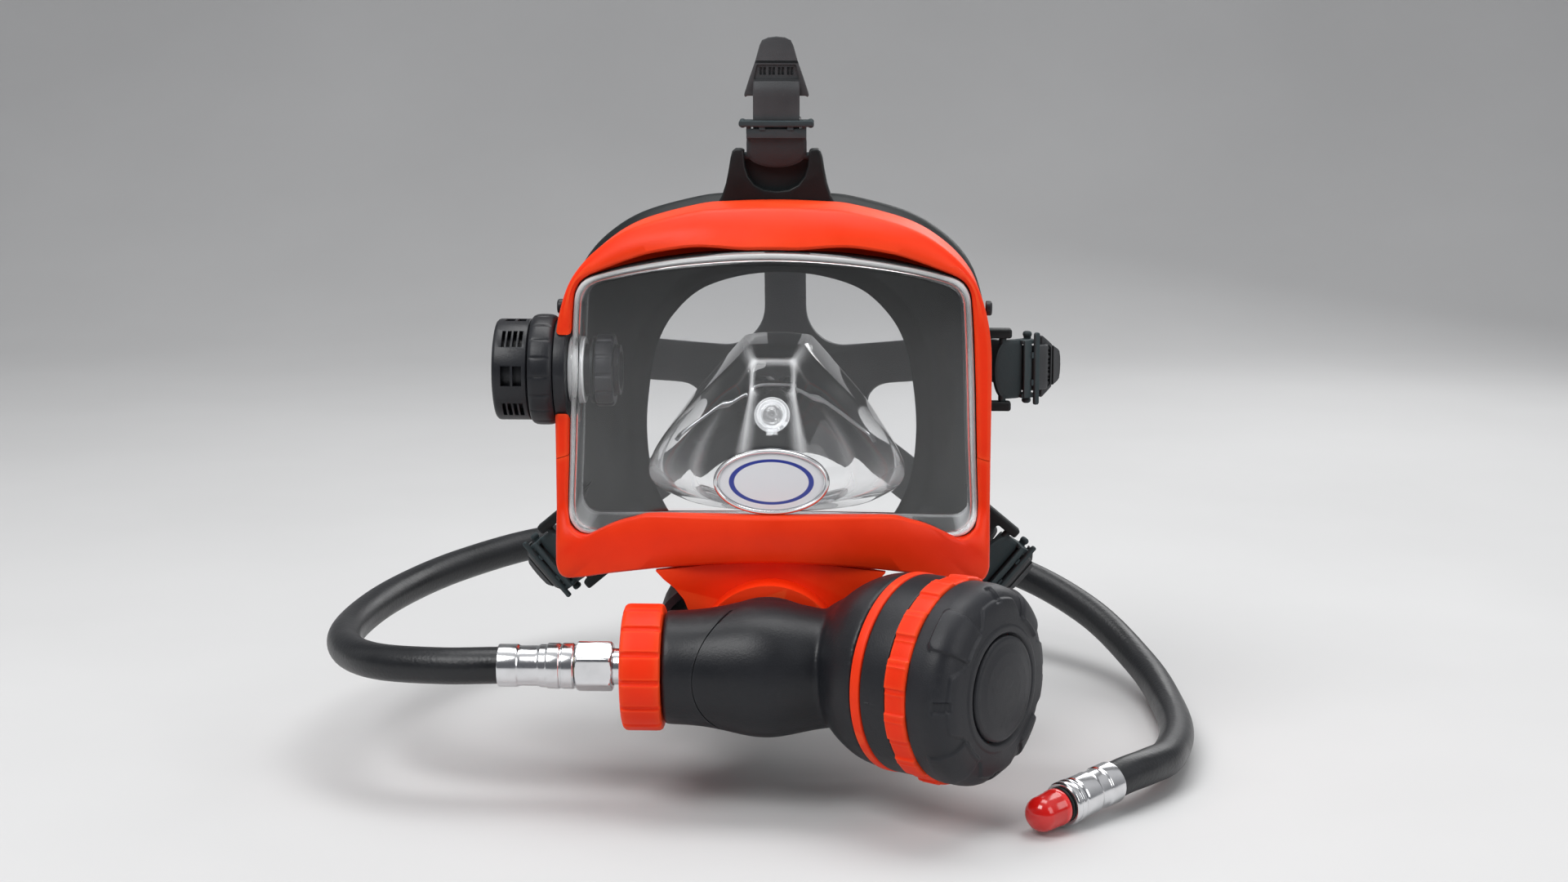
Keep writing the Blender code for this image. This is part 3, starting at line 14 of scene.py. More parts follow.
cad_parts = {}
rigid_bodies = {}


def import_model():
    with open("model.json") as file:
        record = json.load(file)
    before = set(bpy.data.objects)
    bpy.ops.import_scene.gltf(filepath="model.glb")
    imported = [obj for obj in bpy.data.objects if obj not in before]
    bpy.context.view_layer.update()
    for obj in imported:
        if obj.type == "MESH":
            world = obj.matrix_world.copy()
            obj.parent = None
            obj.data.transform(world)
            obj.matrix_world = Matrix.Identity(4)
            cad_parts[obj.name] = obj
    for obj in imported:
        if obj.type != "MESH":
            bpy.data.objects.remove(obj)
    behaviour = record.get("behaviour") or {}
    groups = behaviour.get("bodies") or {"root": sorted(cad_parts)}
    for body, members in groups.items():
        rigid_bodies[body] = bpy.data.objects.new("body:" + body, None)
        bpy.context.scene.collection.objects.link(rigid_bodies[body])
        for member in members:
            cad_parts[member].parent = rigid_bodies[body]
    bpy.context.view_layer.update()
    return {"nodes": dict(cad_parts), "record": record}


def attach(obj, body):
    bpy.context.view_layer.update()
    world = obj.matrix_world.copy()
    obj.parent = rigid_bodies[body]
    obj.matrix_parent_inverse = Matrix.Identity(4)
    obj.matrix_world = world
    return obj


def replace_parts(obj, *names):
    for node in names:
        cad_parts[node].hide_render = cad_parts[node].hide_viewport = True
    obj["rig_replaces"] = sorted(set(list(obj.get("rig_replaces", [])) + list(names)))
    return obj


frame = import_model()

# ---------------------------------------------------------------- layout (mm)
ORIGIN = (-5.6, 53.5, -165.9)     # layout point that becomes the world origin
MM = 0.001                        # metres in a millimetre
LEFT, RIGHT = (1, 0, 0), (-1, 0, 0)
BACK, UP, DOWN = (0, 1, 0), (0, 0, 1), (0, 0, -1)

FRAME_HALF_W = 93.8
FRAME_SEAM_Z = -28.0              # where upper and lower frame halves meet
FRAME_BACK_Y = 30.0
VISOR_HALF_W = 88.0
VISOR_FRONT_Y = -30.0             # foremost point of the visor
VISOR_EDGE_Y = -14.0              # visor front at its side corners
VISOR_BACK_Y = 24.0
VISOR_T = 2.8
VISOR_FIT = 0.75                  # clearance between visor and frame
VALVE = (0.0, 3.0, 9.0)           # the ambient valve's axis runs along -X through this point
REG_Z = -107.0
REG = (0.0, -60.0, REG_Z)         # the regulator tube's axis runs along X through this point
OUTLET = (0, 0, REG_Z)            # the regulator outlet's axis runs along Y through this point
REG_R = 23.6
DRUM_ANGLE = math.radians(34.0)   # drum axis, turned forward from +X
DRUM_START = (30.0, -51.0, -105.0)
DRUM_AXIS = (math.cos(DRUM_ANGLE), -math.sin(DRUM_ANGLE), 0.0)
HOSE_R = 7.75
STRAP_T = 2.4
STRAP_HALF_W = 10.0
BADGE = (0.5, -30.9, -33.4)       # centre of the badge's back
BADGE_HALF_W, BADGE_HALF_H = 22.3, 12.1


# ---------------------------------------------------------------- curves and outlines
def world(p):
    return Vector([(c - o) * MM for c, o in zip(p, ORIGIN)])


def circle(n):
    """n even angles round a full turn."""
    return [2 * math.pi * k / n for k in range(n)]


def around(u, w, angle):
    return u * math.cos(angle) + w * math.sin(angle)


def smooth(t):
    t = min(max(t, 0.0), 1.0)
    return t * t * (3 - 2 * t)


def plateau(x, a, b, c, d):
    """0 below a, 1 between b and c, 0 above d."""
    return smooth((x - a) / (b - a)) * (1 - smooth((x - c) / (d - c)))


def flip(outline):
    return [(-x, v) for x, v in outline]


def rectangle(x0, v0, x1, v1):
    return [(x0, v0), (x1, v0), (x1, v1), (x0, v1)]


def spline(points, n):
    """Catmull-Rom curve through the points, n samples per span."""
    p = [Vector(q) for q in points]
    p = [2 * p[0] - p[1]] + p + [2 * p[-1] - p[-2]]
    out = []
    for i in range(1, len(p) - 2):
        a, b, c, d = p[i - 1], p[i], p[i + 1], p[i + 2]
        for k in range(n):
            t = k / n
            out.append(0.5 * ((2 * b) + (c - a) * t + (2 * a - 5 * b + 4 * c - d) * t * t
                              + (3 * b - a - 3 * c + d) * t ** 3))
    out.append(p[-2])
    return out


def resample(path, n):
    """n + 1 points at equal spacing along a path."""
    d = [0.0]
    for a, b in zip(path[:-1], path[1:]):
        d.append(d[-1] + (b - a).length)
    out, j = [], 0
    for k in range(n + 1):
        s = d[-1] * k / n
        while j < len(d) - 2 and d[j + 1] < s:
            j += 1
        f = (s - d[j]) / max(d[j + 1] - d[j], 1e-9)
        out.append(path[j].lerp(path[j + 1], min(max(f, 0.0), 1.0)))
    return out


def corner_arc(before, corner, after, cut, steps):
    """Points of a curve that cuts a corner at a distance of cut from it."""
    start = corner + (before - corner).normalized() * cut
    end = corner + (after - corner).normalized() * cut
    out = []
    for i in range(steps + 1):
        t = i / steps
        w = start * (1 - t) ** 2 + corner * 2 * t * (1 - t) + end * t * t
        out.append((w.x, w.y))
    return out


def rounded_profile(profile, radius):
    """Rounds the corners of an open turned profile; points on the axis stay sharp."""
    out = [profile[0]]
    for triple in zip(profile[:-2], profile[1:-1], profile[2:]):
        p, q, r = (Vector(point) for point in triple)
        d1, d2 = (p - q).length, (r - q).length
        if q.y < 1e-6 or d1 < 1e-6 or d2 < 1e-6:
            out.append(triple[1])
        else:
            out += corner_arc(p, q, r, min(radius, d1 * 0.45, d2 * 0.45), 3)
    out.append(profile[-1])
    return out


def rounded_outline(points, radius, steps):
    """Rounds the corners of a closed outline."""
    out = []
    n = len(points)
    for i in range(n):
        p, q, r = Vector(points[i - 1]), Vector(points[i]), Vector(points[(i + 1) % n])
        cut = min(radius, (p - q).length * 0.45, (r - q).length * 0.45)
        if cut < radius * 0.25:
            out.append((q.x, q.y))
        else:
            out += corner_arc(p, q, r, cut, steps)
    return out


class Outline:
    """Left-right symmetric closed outline round the Y axis, read as a radius by polar angle."""

    def __init__(self, half):
        # half holds (x, z) from the top middle to the bottom middle on the +X side
        points = [Vector((x, 0, z)) for x, z in half]
        ring = points + [Vector((-p.x, 0, p.z)) for p in reversed(points[1:-1])]
        path = spline([ring[-1]] + ring + ring[:2], 12)[12:-12]
        polar = sorted(((math.atan2(p.z, p.x), math.hypot(p.x, p.z)) for p in path),
                       key=lambda pair: pair[0])
        self.angles = np.array([a for a, r in polar])
        self.radii = np.array([r for a, r in polar])

    def radius(self, angle):
        angle = (angle + math.pi) % (2 * math.pi) - math.pi
        return float(np.interp(angle, self.angles, self.radii, period=2 * math.pi))

    def at(self, angle, y=0.0, grow=0.0):
        r = self.radius(angle) + grow
        return Vector((r * math.cos(angle), y, r * math.sin(angle)))


# half outlines as (x, z), from the top middle to the bottom middle
FRAME_OUT = Outline([
    (0, 81), (20, 80.4), (34, 79), (58.6, 72.3), (74.5, 62.8), (85.3, 51), (90.6, 38), (93.2, 24),
    (FRAME_HALF_W, 8), (FRAME_HALF_W, -28), (FRAME_HALF_W, -66), (93.5, -75), (90.5, -79.3),
    (84, -79), (68, -75.4), (45, -71.3), (22, -68.8), (0, -68)])
VISOR_OUT = Outline([
    (0, 63), (20, 62.2), (40, 59.9), (58, 56.6), (72, 53), (79.5, 50), (83.2, 45.5), (84.6, 38),
    (86.2, 9), (87.3, -25), (88.2, -48), (87.4, -55), (83.5, -59.2), (77, -60), (50, -60),
    (25, -60), (0, -60)])
LIP_OUT = Outline([               # inner lip of the lower frame half
    (0, 62), (58, 55), (82, 46), (85.5, 9), (86.5, -25), (87.6, -50), (86.9, -60.2),
    (82.5, -61.2), (75.5, -57.6), (67, -53.2), (58, -50.2), (50, -48.3), (25, -47.6), (0, -47.6)])
OPENING = Outline([               # face opening at the back of the skirt
    (0, 43), (20, 41), (38, 34.5), (51, 22), (58, 8), (61.5, -10), (63, -32), (60, -55),
    (50, -75), (32, -89), (12, -95), (0, -96)])


def arc_angles(outline, start, end, n):
    """n + 1 polar angles between two angles, spaced evenly by length along the outline."""
    m = 600
    angles = [start + (end - start) * i / m for i in range(m + 1)]
    points = [outline.at(t) for t in angles]
    d = [0.0]
    for a, b in zip(points[:-1], points[1:]):
        d.append(d[-1] + (b - a).length)
    return [float(np.interp(d[-1] * i / n, d, angles)) for i in range(n + 1)]


def full_turn(outline, n):
    """n angles round the outline, from the bottom middle."""
    return arc_angles(outline, -math.pi / 2, 1.5 * math.pi, n)[:-1]


def visor_y(x):
    return VISOR_FRONT_Y + (VISOR_EDGE_Y - VISOR_FRONT_Y) * (x / VISOR_HALF_W) ** 2


def visor_y_near(p):
    """Visor front beside a point; it stays level outside the visor."""
    return visor_y(min(abs(p.x), VISOR_HALF_W))


# ---------------------------------------------------------------- bodies
def signed_volume(bm):
    total = 0.0
    for f in bm.faces:
        v0 = f.verts[0].co
        for a, b in zip(f.verts[1:-1], f.verts[2:]):
            total += v0.dot(a.co.cross(b.co))
    return total / 6.0


def loft(rings, loop=False):
    """Skins equally long point rings.  loop joins the last ring to the first, else both are capped."""
    bm = bmesh.new()
    rows = [[bm.verts.new(p) for p in r] for r in rings]
    n = len(rings[0])
    pairs = list(zip(rows[:-1], rows[1:])) + ([(rows[-1], rows[0])] if loop else [])
    for a, b in pairs:
        for i in range(n):
            j = (i + 1) % n
            bm.faces.new((a[i], a[j], b[j], b[i]))
    if not loop:
        bm.faces.new(list(reversed(rows[0])))
        bm.faces.new(rows[-1])
    return bm


def axis_frame(axis):
    a = Vector(axis).normalized()
    h = Vector((0, 0, 1)) if abs(a.z) < 0.9 else Vector((1, 0, 0))
    u = h.cross(a).normalized()
    return a, u, a.cross(u).normalized()


def turned(profile, origin, axis, steps):
    """Solid of revolution from (distance along axis, radius) pairs.

    A profile that starts on the axis is open; any other is closed into a ring.
    """
    a, u, w = axis_frame(axis)
    o = Vector(origin)
    bm = bmesh.new()
    verts = [bm.verts.new(o + a * s + u * r) for s, r in profile]
    edges = [bm.edges.new(pair) for pair in zip(verts[:-1], verts[1:])]
    if profile[0][1] > 1e-6:
        edges.append(bm.edges.new((verts[-1], verts[0])))
    bmesh.ops.spin(bm, geom=verts + edges, cent=o, axis=a, dvec=(0, 0, 0), angle=2 * math.pi,
                   steps=steps, use_merge=True, use_duplicate=False)
    bmesh.ops.remove_doubles(bm, verts=bm.verts[:], dist=1.5e-3)
    bmesh.ops.recalc_face_normals(bm, faces=bm.faces[:])
    return bm


def closed_on_axis(profile):
    p = list(profile)
    if p[0][1] > 1e-6:
        p.insert(0, (p[0][0], 0.0))
    if p[-1][1] > 1e-6:
        p.append((p[-1][0], 0.0))
    return p


def solid(profile, origin, axis, steps):
    """Turned body from an outer profile; its ends are closed on the axis."""
    return turned(closed_on_axis(profile), origin, axis, steps)


def cylinder(start, end, radius, origin, axis, steps):
    return solid([(start, radius), (end, radius)], origin, axis, steps)


def soft_solid(profile, origin, axis, steps, soft):
    """solid() with its corners rounded by soft."""
    return turned(rounded_profile(closed_on_axis(profile), soft), origin, axis, steps)


def soft_ring(profile, origin, axis, steps, soft):
    """Turned ring with its corners rounded by soft."""
    p = list(profile)
    mid = ((p[0][0] + p[-1][0]) / 2, (p[0][1] + p[-1][1]) / 2)
    return turned(rounded_profile([mid] + p + [mid], soft)[:-1], origin, axis, steps)


def shaped_ring(profile, origin, axis, steps, relief):
    """Turned ring whose radius is changed by relief(station, radius, angle)."""
    a, u, w = axis_frame(axis)
    o = Vector(origin)
    return loft([[o + a * s + around(u, w, angle) * (r + relief(s, r, angle))
                  for angle in circle(steps)] for s, r in profile], loop=True)


def pad_wave(angle, count, share, edge, phase=0.0):
    """1 on a pad, 0 in the groove between pads."""
    t = (angle / (2 * math.pi) * count + phase) % 1.0
    d = abs(t - 0.5) * 2                       # 0 pad middle, 1 groove middle
    return 1 - smooth((d - share) / edge)


def prism(outline, origin, normal, up, depth):
    """Extrudes a 2D outline (u, v) by depth along normal.  up gives the direction of v."""
    normal = Vector(normal).normalized()
    v_dir = (Vector(up) - normal * Vector(up).dot(normal)).normalized()
    u_dir = v_dir.cross(normal)
    o = Vector(origin)
    bm = bmesh.new()
    base = bm.faces.new([bm.verts.new(o + u_dir * u + v_dir * v) for u, v in outline])
    moved = bmesh.ops.extrude_face_region(bm, geom=[base])["geom"]
    bmesh.ops.translate(bm, vec=normal * depth,
                        verts=[g for g in moved if isinstance(g, bmesh.types.BMVert)])
    return bm


def block(center, size, bevel=0.0, rotation=None):
    bm = bmesh.new()
    bmesh.ops.create_cube(bm, size=1.0)
    bmesh.ops.scale(bm, vec=size, verts=bm.verts[:])
    if bevel > 0:
        bmesh.ops.bevel(bm, geom=bm.edges[:], offset=bevel, segments=1, profile=0.5,
                        affect="EDGES")
    if rotation is not None:
        bmesh.ops.rotate(bm, cent=(0, 0, 0), matrix=rotation, verts=bm.verts[:])
    bmesh.ops.translate(bm, vec=center, verts=bm.verts[:])
    return bm


def join(first, *others):
    """Puts several bodies into one bmesh."""
    for other in others:
        me = bpy.data.meshes.new("tmp")
        other.to_mesh(me)
        other.free()
        first.from_mesh(me)
        bpy.data.meshes.remove(me)
    return first


def pipe(path, radius, n):
    """Round solid swept along a path without twist."""
    last = len(path) - 1
    tangents = [(path[min(i + 1, last)] - path[max(i - 1, 0)]).normalized()
                for i in range(last + 1)]
    up = Vector((0, 0, 1))
    up = (up - tangents[0] * up.dot(tangents[0])).normalized()
    rings = []
    for p, t in zip(path, tangents):
        up = (up - t * up.dot(t)).normalized()
        side = t.cross(up).normalized()
        rings.append([p + around(side, up, angle) * radius for angle in circle(n)])
    return loft(rings)


# ---------------------------------------------------------------- material helpers
def shader(name):
    m = bpy.data.materials.new(name)
    m.use_nodes = True
    tree = m.node_tree
    tree.nodes.clear()
    out = tree.nodes.new("ShaderNodeOutputMaterial")
    bsdf = tree.nodes.new("ShaderNodeBsdfPrincipled")
    tree.links.new(bsdf.outputs[0], out.inputs[0])
    return m, tree, bsdf, out


def node(tree, kind, inputs=None, **props):
    """New node; each input is either linked from a socket or set to a value."""
    n = tree.nodes.new(kind)
    for k, v in props.items():
        setattr(n, k, v)
    for k, v in (inputs or {}).items():
        if isinstance(v, bpy.types.NodeSocket):
            tree.links.new(v, n.inputs[k])
        else:
            n.inputs[k].default_value = v
    return n


def coords(tree, scale=(1, 1, 1)):
    place = node(tree, "ShaderNodeTexCoord").outputs["Object"]
    return node(tree, "ShaderNodeMapping", {"Vector": place, "Scale": scale}).outputs[0]


def noise(tree, vector, scale, detail, roughness=0.5):
    return node(tree, "ShaderNodeTexNoise", {"Vector": vector, "Scale": scale, "Detail": detail,
                                             "Roughness": roughness}).outputs["Fac"]


def calc(tree, operation, a, b):
    return node(tree, "ShaderNodeMath", {0: a, 1: b}, operation=operation).outputs[0]


def mix_color(tree, factor, a, b):
    return node(tree, "ShaderNodeMix", {"Factor": factor, "A": a, "B": (*b, 1)},
                data_type="RGBA").outputs["Result"]


def map_range(tree, value, to_min, to_max, from_min=0.0, from_max=1.0):
    return node(tree, "ShaderNodeMapRange", {
        "Value": value, "From Min": from_min, "From Max": from_max,
        "To Min": to_min, "To Max": to_max}).outputs[0]


def bump(tree, bsdf, height, strength, distance):
    n = node(tree, "ShaderNodeBump",
             {"Height": height, "Strength": strength, "Distance": distance})
    tree.links.new(n.outputs[0], bsdf.inputs["Normal"])


def ramp(tree, factor, stops):
    """Colour ramp; stops are (position, grey or RGB)."""
    r = node(tree, "ShaderNodeValToRGB", {"Fac": factor})
    e = r.color_ramp.elements
    while len(e) < len(stops):
        e.new(0.5)
    for i, (p, c) in enumerate(stops):
        e[i].position = p
        e[i].color = (*c, 1) if isinstance(c, tuple) else (c, c, c, 1)
    return r.outputs[0]


def pointiness(tree, stops):
    """Mask by surface curvature: above 0.5 on edges, below in recesses."""
    return ramp(tree, node(tree, "ShaderNodeNewGeometry").outputs["Pointiness"], stops)


# ---------------------------------------------------------------- materials
def moulded(name, color, rough, grain=900.0, grain_depth=0.05, mottle=0.12, worn=None, coat=0.0,
            spec=0.5, sheen=0.0, dust=0.0, scratch=0.25):
    """Plastic or rubber: fine grain, cloudy gloss, rubbed edges, faint scratches and dust."""
    m, tree, bsdf, _ = shader(name)
    v = coords(tree)
    cloud = noise(tree, v, scale=34.0, detail=5.0, roughness=0.6)
    fine = noise(tree, v, scale=grain, detail=3.0, roughness=0.55)
    cells = node(tree, "ShaderNodeTexVoronoi", {"Vector": v, "Scale": grain * 1.4})
    dark = tuple(c * (1 - mottle) for c in color)
    light = tuple(min(1.0, c * (1 + mottle)) for c in color)
    base = ramp(tree, cloud, [(0.3, dark), (0.7, light)])
    wear = calc(tree, "MULTIPLY", pointiness(tree, [(0.505, 0.0), (0.56, 1.0)]), cloud)
    rubbed = worn or tuple(min(1.0, c * 1.6 + 0.012) for c in color)
    surface = mix_color(tree, wear, base, rubbed)
    if dust > 0:
        specks = noise(tree, v, scale=420.0, detail=6.0, roughness=0.75)
        mask = ramp(tree, specks, [(0.60, 0.0), (0.78, dust)])
        surface = mix_color(tree, mask, surface, (0.35, 0.34, 0.33))
    tree.links.new(surface, bsdf.inputs["Base Color"])
    streaks = noise(tree, coords(tree, (1, 7, 1.5)), scale=120.0, detail=8.0, roughness=0.8)
    scratches = ramp(tree, streaks, [(0.55, 0.0), (0.75, scratch)])
    gloss = map_range(tree, cloud, rough - 0.07, rough + 0.07, from_min=0.3, from_max=0.7)
    tree.links.new(calc(tree, "ADD", gloss, scratches), bsdf.inputs["Roughness"])
    height = calc(tree, "ADD", fine, cells.outputs["Distance"])
    bump(tree, bsdf, height, strength=grain_depth, distance=0.0004)
    for key, value in (("Coat Weight", coat), ("Coat Roughness", 0.15),
                       ("Specular IOR Level", spec), ("Sheen Weight", sheen),
                       ("Sheen Roughness", 0.4)):
        bsdf.inputs[key].default_value = value
    return m


def metal(name, color, rough, streak=0.12):
    """Plated or turned metal with turning marks, smudges and painted shade darkening its recesses."""
    m, tree, bsdf, _ = shader(name)
    lines = noise(tree, coords(tree), scale=900.0, detail=4.0, roughness=0.6)
    smudge = noise(tree, coords(tree), scale=90.0, detail=6.0, roughness=0.65)
    # painted shade: the recess mask darkens hollows towards a dimmer brownish grey
    recess = pointiness(tree, [(0.40, 1.0), (0.46, 0.0)])
    painted_recess_shade = tuple(a * k for a, k in zip(color, (0.5, 0.45, 0.38)))
    base = ramp(tree, smudge, [(0.35, color), (0.8, tuple(c * 0.82 for c in color))])
    tree.links.new(mix_color(tree, recess, base, painted_recess_shade), bsdf.inputs["Base Color"])
    gloss = map_range(tree, smudge, rough, rough + streak, from_min=0.3, from_max=0.75)
    tree.links.new(gloss, bsdf.inputs["Roughness"])
    bump(tree, bsdf, lines, strength=0.003, distance=0.0001)
    bsdf.inputs["Metallic"].default_value = 1.0
    return m


def clear(name, rough, scuff, edge, spec, ior=1.49):
    """Clear moulded plastic with faint scuffs and painted pale highlights on its edges; it casts a
    clear shadow.
    """
    m, tree, bsdf, out = shader(name)
    tint = (0.985, 0.99, 0.995, 1)
    waves = noise(tree, coords(tree), scale=60.0, detail=7.0, roughness=0.7)
    scuffs = noise(tree, coords(tree, (1, 1, 9)), scale=260.0, detail=8.0, roughness=0.8)
    scuffed = ramp(tree, scuffs, [(0.62, 0.0), (0.85, scuff)])
    gloss = calc(tree, "ADD", scuffed, rough)
    bsdf.inputs["Base Color"].default_value = tint
    # painted highlight: sharp moulded edges lose transmission and read as pale lines, in place of
    # light piped along them
    pale = pointiness(tree, [(0.506, 0.0), (0.54, edge)])
    tree.links.new(calc(tree, "SUBTRACT", 1.0, pale), bsdf.inputs["Transmission Weight"])
    bsdf.inputs["Specular IOR Level"].default_value = spec
    bsdf.inputs["IOR"].default_value = ior
    tree.links.new(gloss, bsdf.inputs["Roughness"])
    bump(tree, bsdf, waves, strength=0.006, distance=0.0006)
    rays = node(tree, "ShaderNodeLightPath")
    see_through = node(tree, "ShaderNodeBsdfTransparent", {"Color": tint})
    mix = node(tree, "ShaderNodeMixShader", {0: rays.outputs["Is Shadow Ray"]})
    tree.links.new(bsdf.outputs[0], mix.inputs[1])
    tree.links.new(see_through.outputs[0], mix.inputs[2])
    tree.links.new(mix.outputs[0], out.inputs[0])
    return m


def badge_enamel():
    """Plain pale enamel with one blue oval ring."""
    m, tree, bsdf, _ = shader("badge_enamel_look")
    pale, blue = (0.78, 0.80, 0.83), (0.012, 0.03, 0.30)
    place = node(tree, "ShaderNodeTexCoord").outputs["Object"]
    split = node(tree, "ShaderNodeSeparateXYZ", {0: place})
    centre = world(BADGE)
    parts = [calc(tree, "SUBTRACT", split.outputs[i], centre[i]) for i in (0, 2)]
    parts = [calc(tree, "DIVIDE", p, half * MM)
             for p, half in zip(parts, (BADGE_HALF_W, BADGE_HALF_H))]
    parts = [calc(tree, "POWER", p, 2.0) for p in parts]
    reach = calc(tree, "POWER", calc(tree, "ADD", *parts), 0.5)
    color = ramp(tree, reach, [(0.0, pale), (0.70, pale), (0.715, blue), (0.80, blue),
                               (0.815, pale)])
    tree.links.new(color, bsdf.inputs["Base Color"])
    cloud = noise(tree, place, scale=260.0, detail=5.0)
    tree.links.new(map_range(tree, cloud, 0.12, 0.3), bsdf.inputs["Roughness"])
    bsdf.inputs["Coat Weight"].default_value = 0.5
    return m


LOOKS = {
    "orange": moulded("orange_plastic_look", (0.90, 0.030, 0.001), rough=0.44, grain=700,
                      mottle=0.05, worn=(1.0, 0.10, 0.02), scratch=0.12, spec=0.22),
    # edge sets the strength of the painted pale highlight on the clear parts' edges
    "clear": clear("visor_look", rough=0.0, scuff=0.15, edge=0.75, spec=0.22),
    "hood": clear("hood_look", rough=0.02, ior=1.36, scuff=0.2, edge=0.8, spec=0.5),
    "rubber": moulded("skirt_rubber_look", (0.0085, 0.0115, 0.0125), rough=0.46, grain=450,
                      grain_depth=0.015, mottle=0.25, dust=0.02, spec=0.24),
    "strap": moulded("strap_rubber_look", (0.040, 0.042, 0.045), rough=0.50, grain=1100,
                     grain_depth=0.12, mottle=0.2, sheen=0.04, dust=0.08, spec=0.35),
    "black": moulded("black_plastic_look", (0.009, 0.010, 0.013), rough=0.40, grain_depth=0.08,
                     mottle=0.2, dust=0.03, spec=0.38),
    "buckle": moulded("buckle_plastic_look", (0.024, 0.037, 0.041), rough=0.58,
                      grain_depth=0.08, mottle=0.15, dust=0.03, spec=0.3),
    "purge": moulded("purge_rubber_look", (0.013, 0.014, 0.018), rough=0.46, grain=1500,
                     grain_depth=0.10, mottle=0.2, sheen=0.02, dust=0.03, spec=0.38),
    "hose": moulded("hose_rubber_look", (0.009, 0.010, 0.012), rough=0.36, grain=500,
                    grain_depth=0.16, mottle=0.25, dust=0.04, scratch=0.2, spec=0.45),
    "silicone": moulded("silicone_look", (0.30, 0.31, 0.32), rough=0.45),
    # a spare look that no piece here wears
    "white": moulded("white_plastic_look", (0.80, 0.81, 0.82), rough=0.35, grain_depth=0.03,
                     mottle=0.04),
    "red": moulded("red_cap_look", (0.62, 0.006, 0.004), rough=0.16, grain=300,
                   grain_depth=0.02, mottle=0.08, coat=0.6, scratch=0.1),
    "chrome": metal("chrome_look", (0.80, 0.805, 0.82), rough=0.15, streak=0.06),
    "steel": metal("steel_look", (0.62, 0.63, 0.64), rough=0.26),
    "brass": metal("brass_look", (0.72, 0.52, 0.22), rough=0.22),
    "badge": badge_enamel(),
}


# ---------------------------------------------------------------- objects
def shade(me, sharp):
    me.shade_smooth()
    me.set_sharp_from_angle(angle=math.radians(sharp))


def mesh_object(bm, sharp=35.0):
    """Object from a body in layout millimetres; edges above sharp degrees stay hard."""
    bmesh.ops.recalc_face_normals(bm, faces=bm.faces[:])
    if signed_volume(bm) < 0:
        bmesh.ops.reverse_faces(bm, faces=bm.faces[:])
    for v in bm.verts:
        v.co = world(v.co)
    me = bpy.data.meshes.new("piece")
    bm.to_mesh(me)
    bm.free()
    shade(me, sharp)
    ob = bpy.data.objects.new("piece", me)
    bpy.context.scene.collection.objects.link(ob)
    return ob


def bake(ob, sharp=35.0):
    """Applies the object's modifiers to its mesh."""
    bpy.context.view_layer.update()
    graph = bpy.context.evaluated_depsgraph_get()
    me = bpy.data.meshes.new_from_object(ob.evaluated_get(graph), depsgraph=graph)
    ob.modifiers.clear()
    ob.data = me
    shade(me, sharp)


def combine(ob, tool, operation="UNION", solver="EXACT", sharp=35.0):
    """Boolean with another object, which is used up."""
    m = ob.modifiers.new("b", "BOOLEAN")
    m.operation, m.solver, m.object = operation, solver, tool
    bake(ob, sharp)
    bpy.data.objects.remove(tool, do_unlink=True)


def cut(ob, bm, solver="EXACT", sharp=35.0):
    combine(ob, mesh_object(bm), "DIFFERENCE", solver, sharp)


def add(ob, bm, sharp=35.0):
    combine(ob, mesh_object(bm), sharp=sharp)


def bevel(ob, width, segments, angle=40.0, sharp=35.0):
    m = ob.modifiers.new("edge", "BEVEL")
    m.width, m.segments = width * MM, segments
    m.limit_method, m.angle_limit = "ANGLE", math.radians(angle)
    m.use_clamp_overlap = True
    m.harden_normals = False
    bake(ob, sharp)


def subdivide(ob, levels, sharp):
    m = ob.modifiers.new("s", "SUBSURF")
    m.levels = m.render_levels = levels
    bake(ob, sharp)


BODY = {n: b for b, ns in frame["record"]["behaviour"]["bodies"].items() for n in ns}


def dress(ob, look, name):
    ob.data.materials.clear()
    ob.data.materials.append(LOOKS[look])
    ob.name = name


def piece(node_name, look, ob):
    """Gives an object its look and lets it stand for a CAD node, riding on that node's body."""
    dress(ob, look, node_name + "_look")
    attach(ob, BODY[node_name])
    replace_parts(ob, node_name)


def extra(name, look, ob):
    """A piece with no CAD node of its own; it rides on the mask."""
    dress(ob, look, name)
    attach(ob, "mask")


def ring_piece(node_name, look, profile, origin, axis, steps, soft):
    piece(node_name, look, mesh_object(soft_ring(profile, origin, axis, steps, soft)))


def solid_piece(node_name, look, profile, origin, axis, steps, soft):
    piece(node_name, look, mesh_object(soft_solid(profile, origin, axis, steps, soft)))


def paint(node_name, look):
    """A CAD node whose shape is right keeps it and takes a finished material."""
    ob = frame["nodes"][node_name]
    ob.data.materials.clear()
    ob.data.materials.append(LOOKS[look])
    shade(ob.data, 30)


# ---------------------------------------------------------------- clamp frame
SEAM = math.atan2(FRAME_SEAM_Z, FRAME_HALF_W)
SEAM_GAP = 0.15 / FRAME_HALF_W


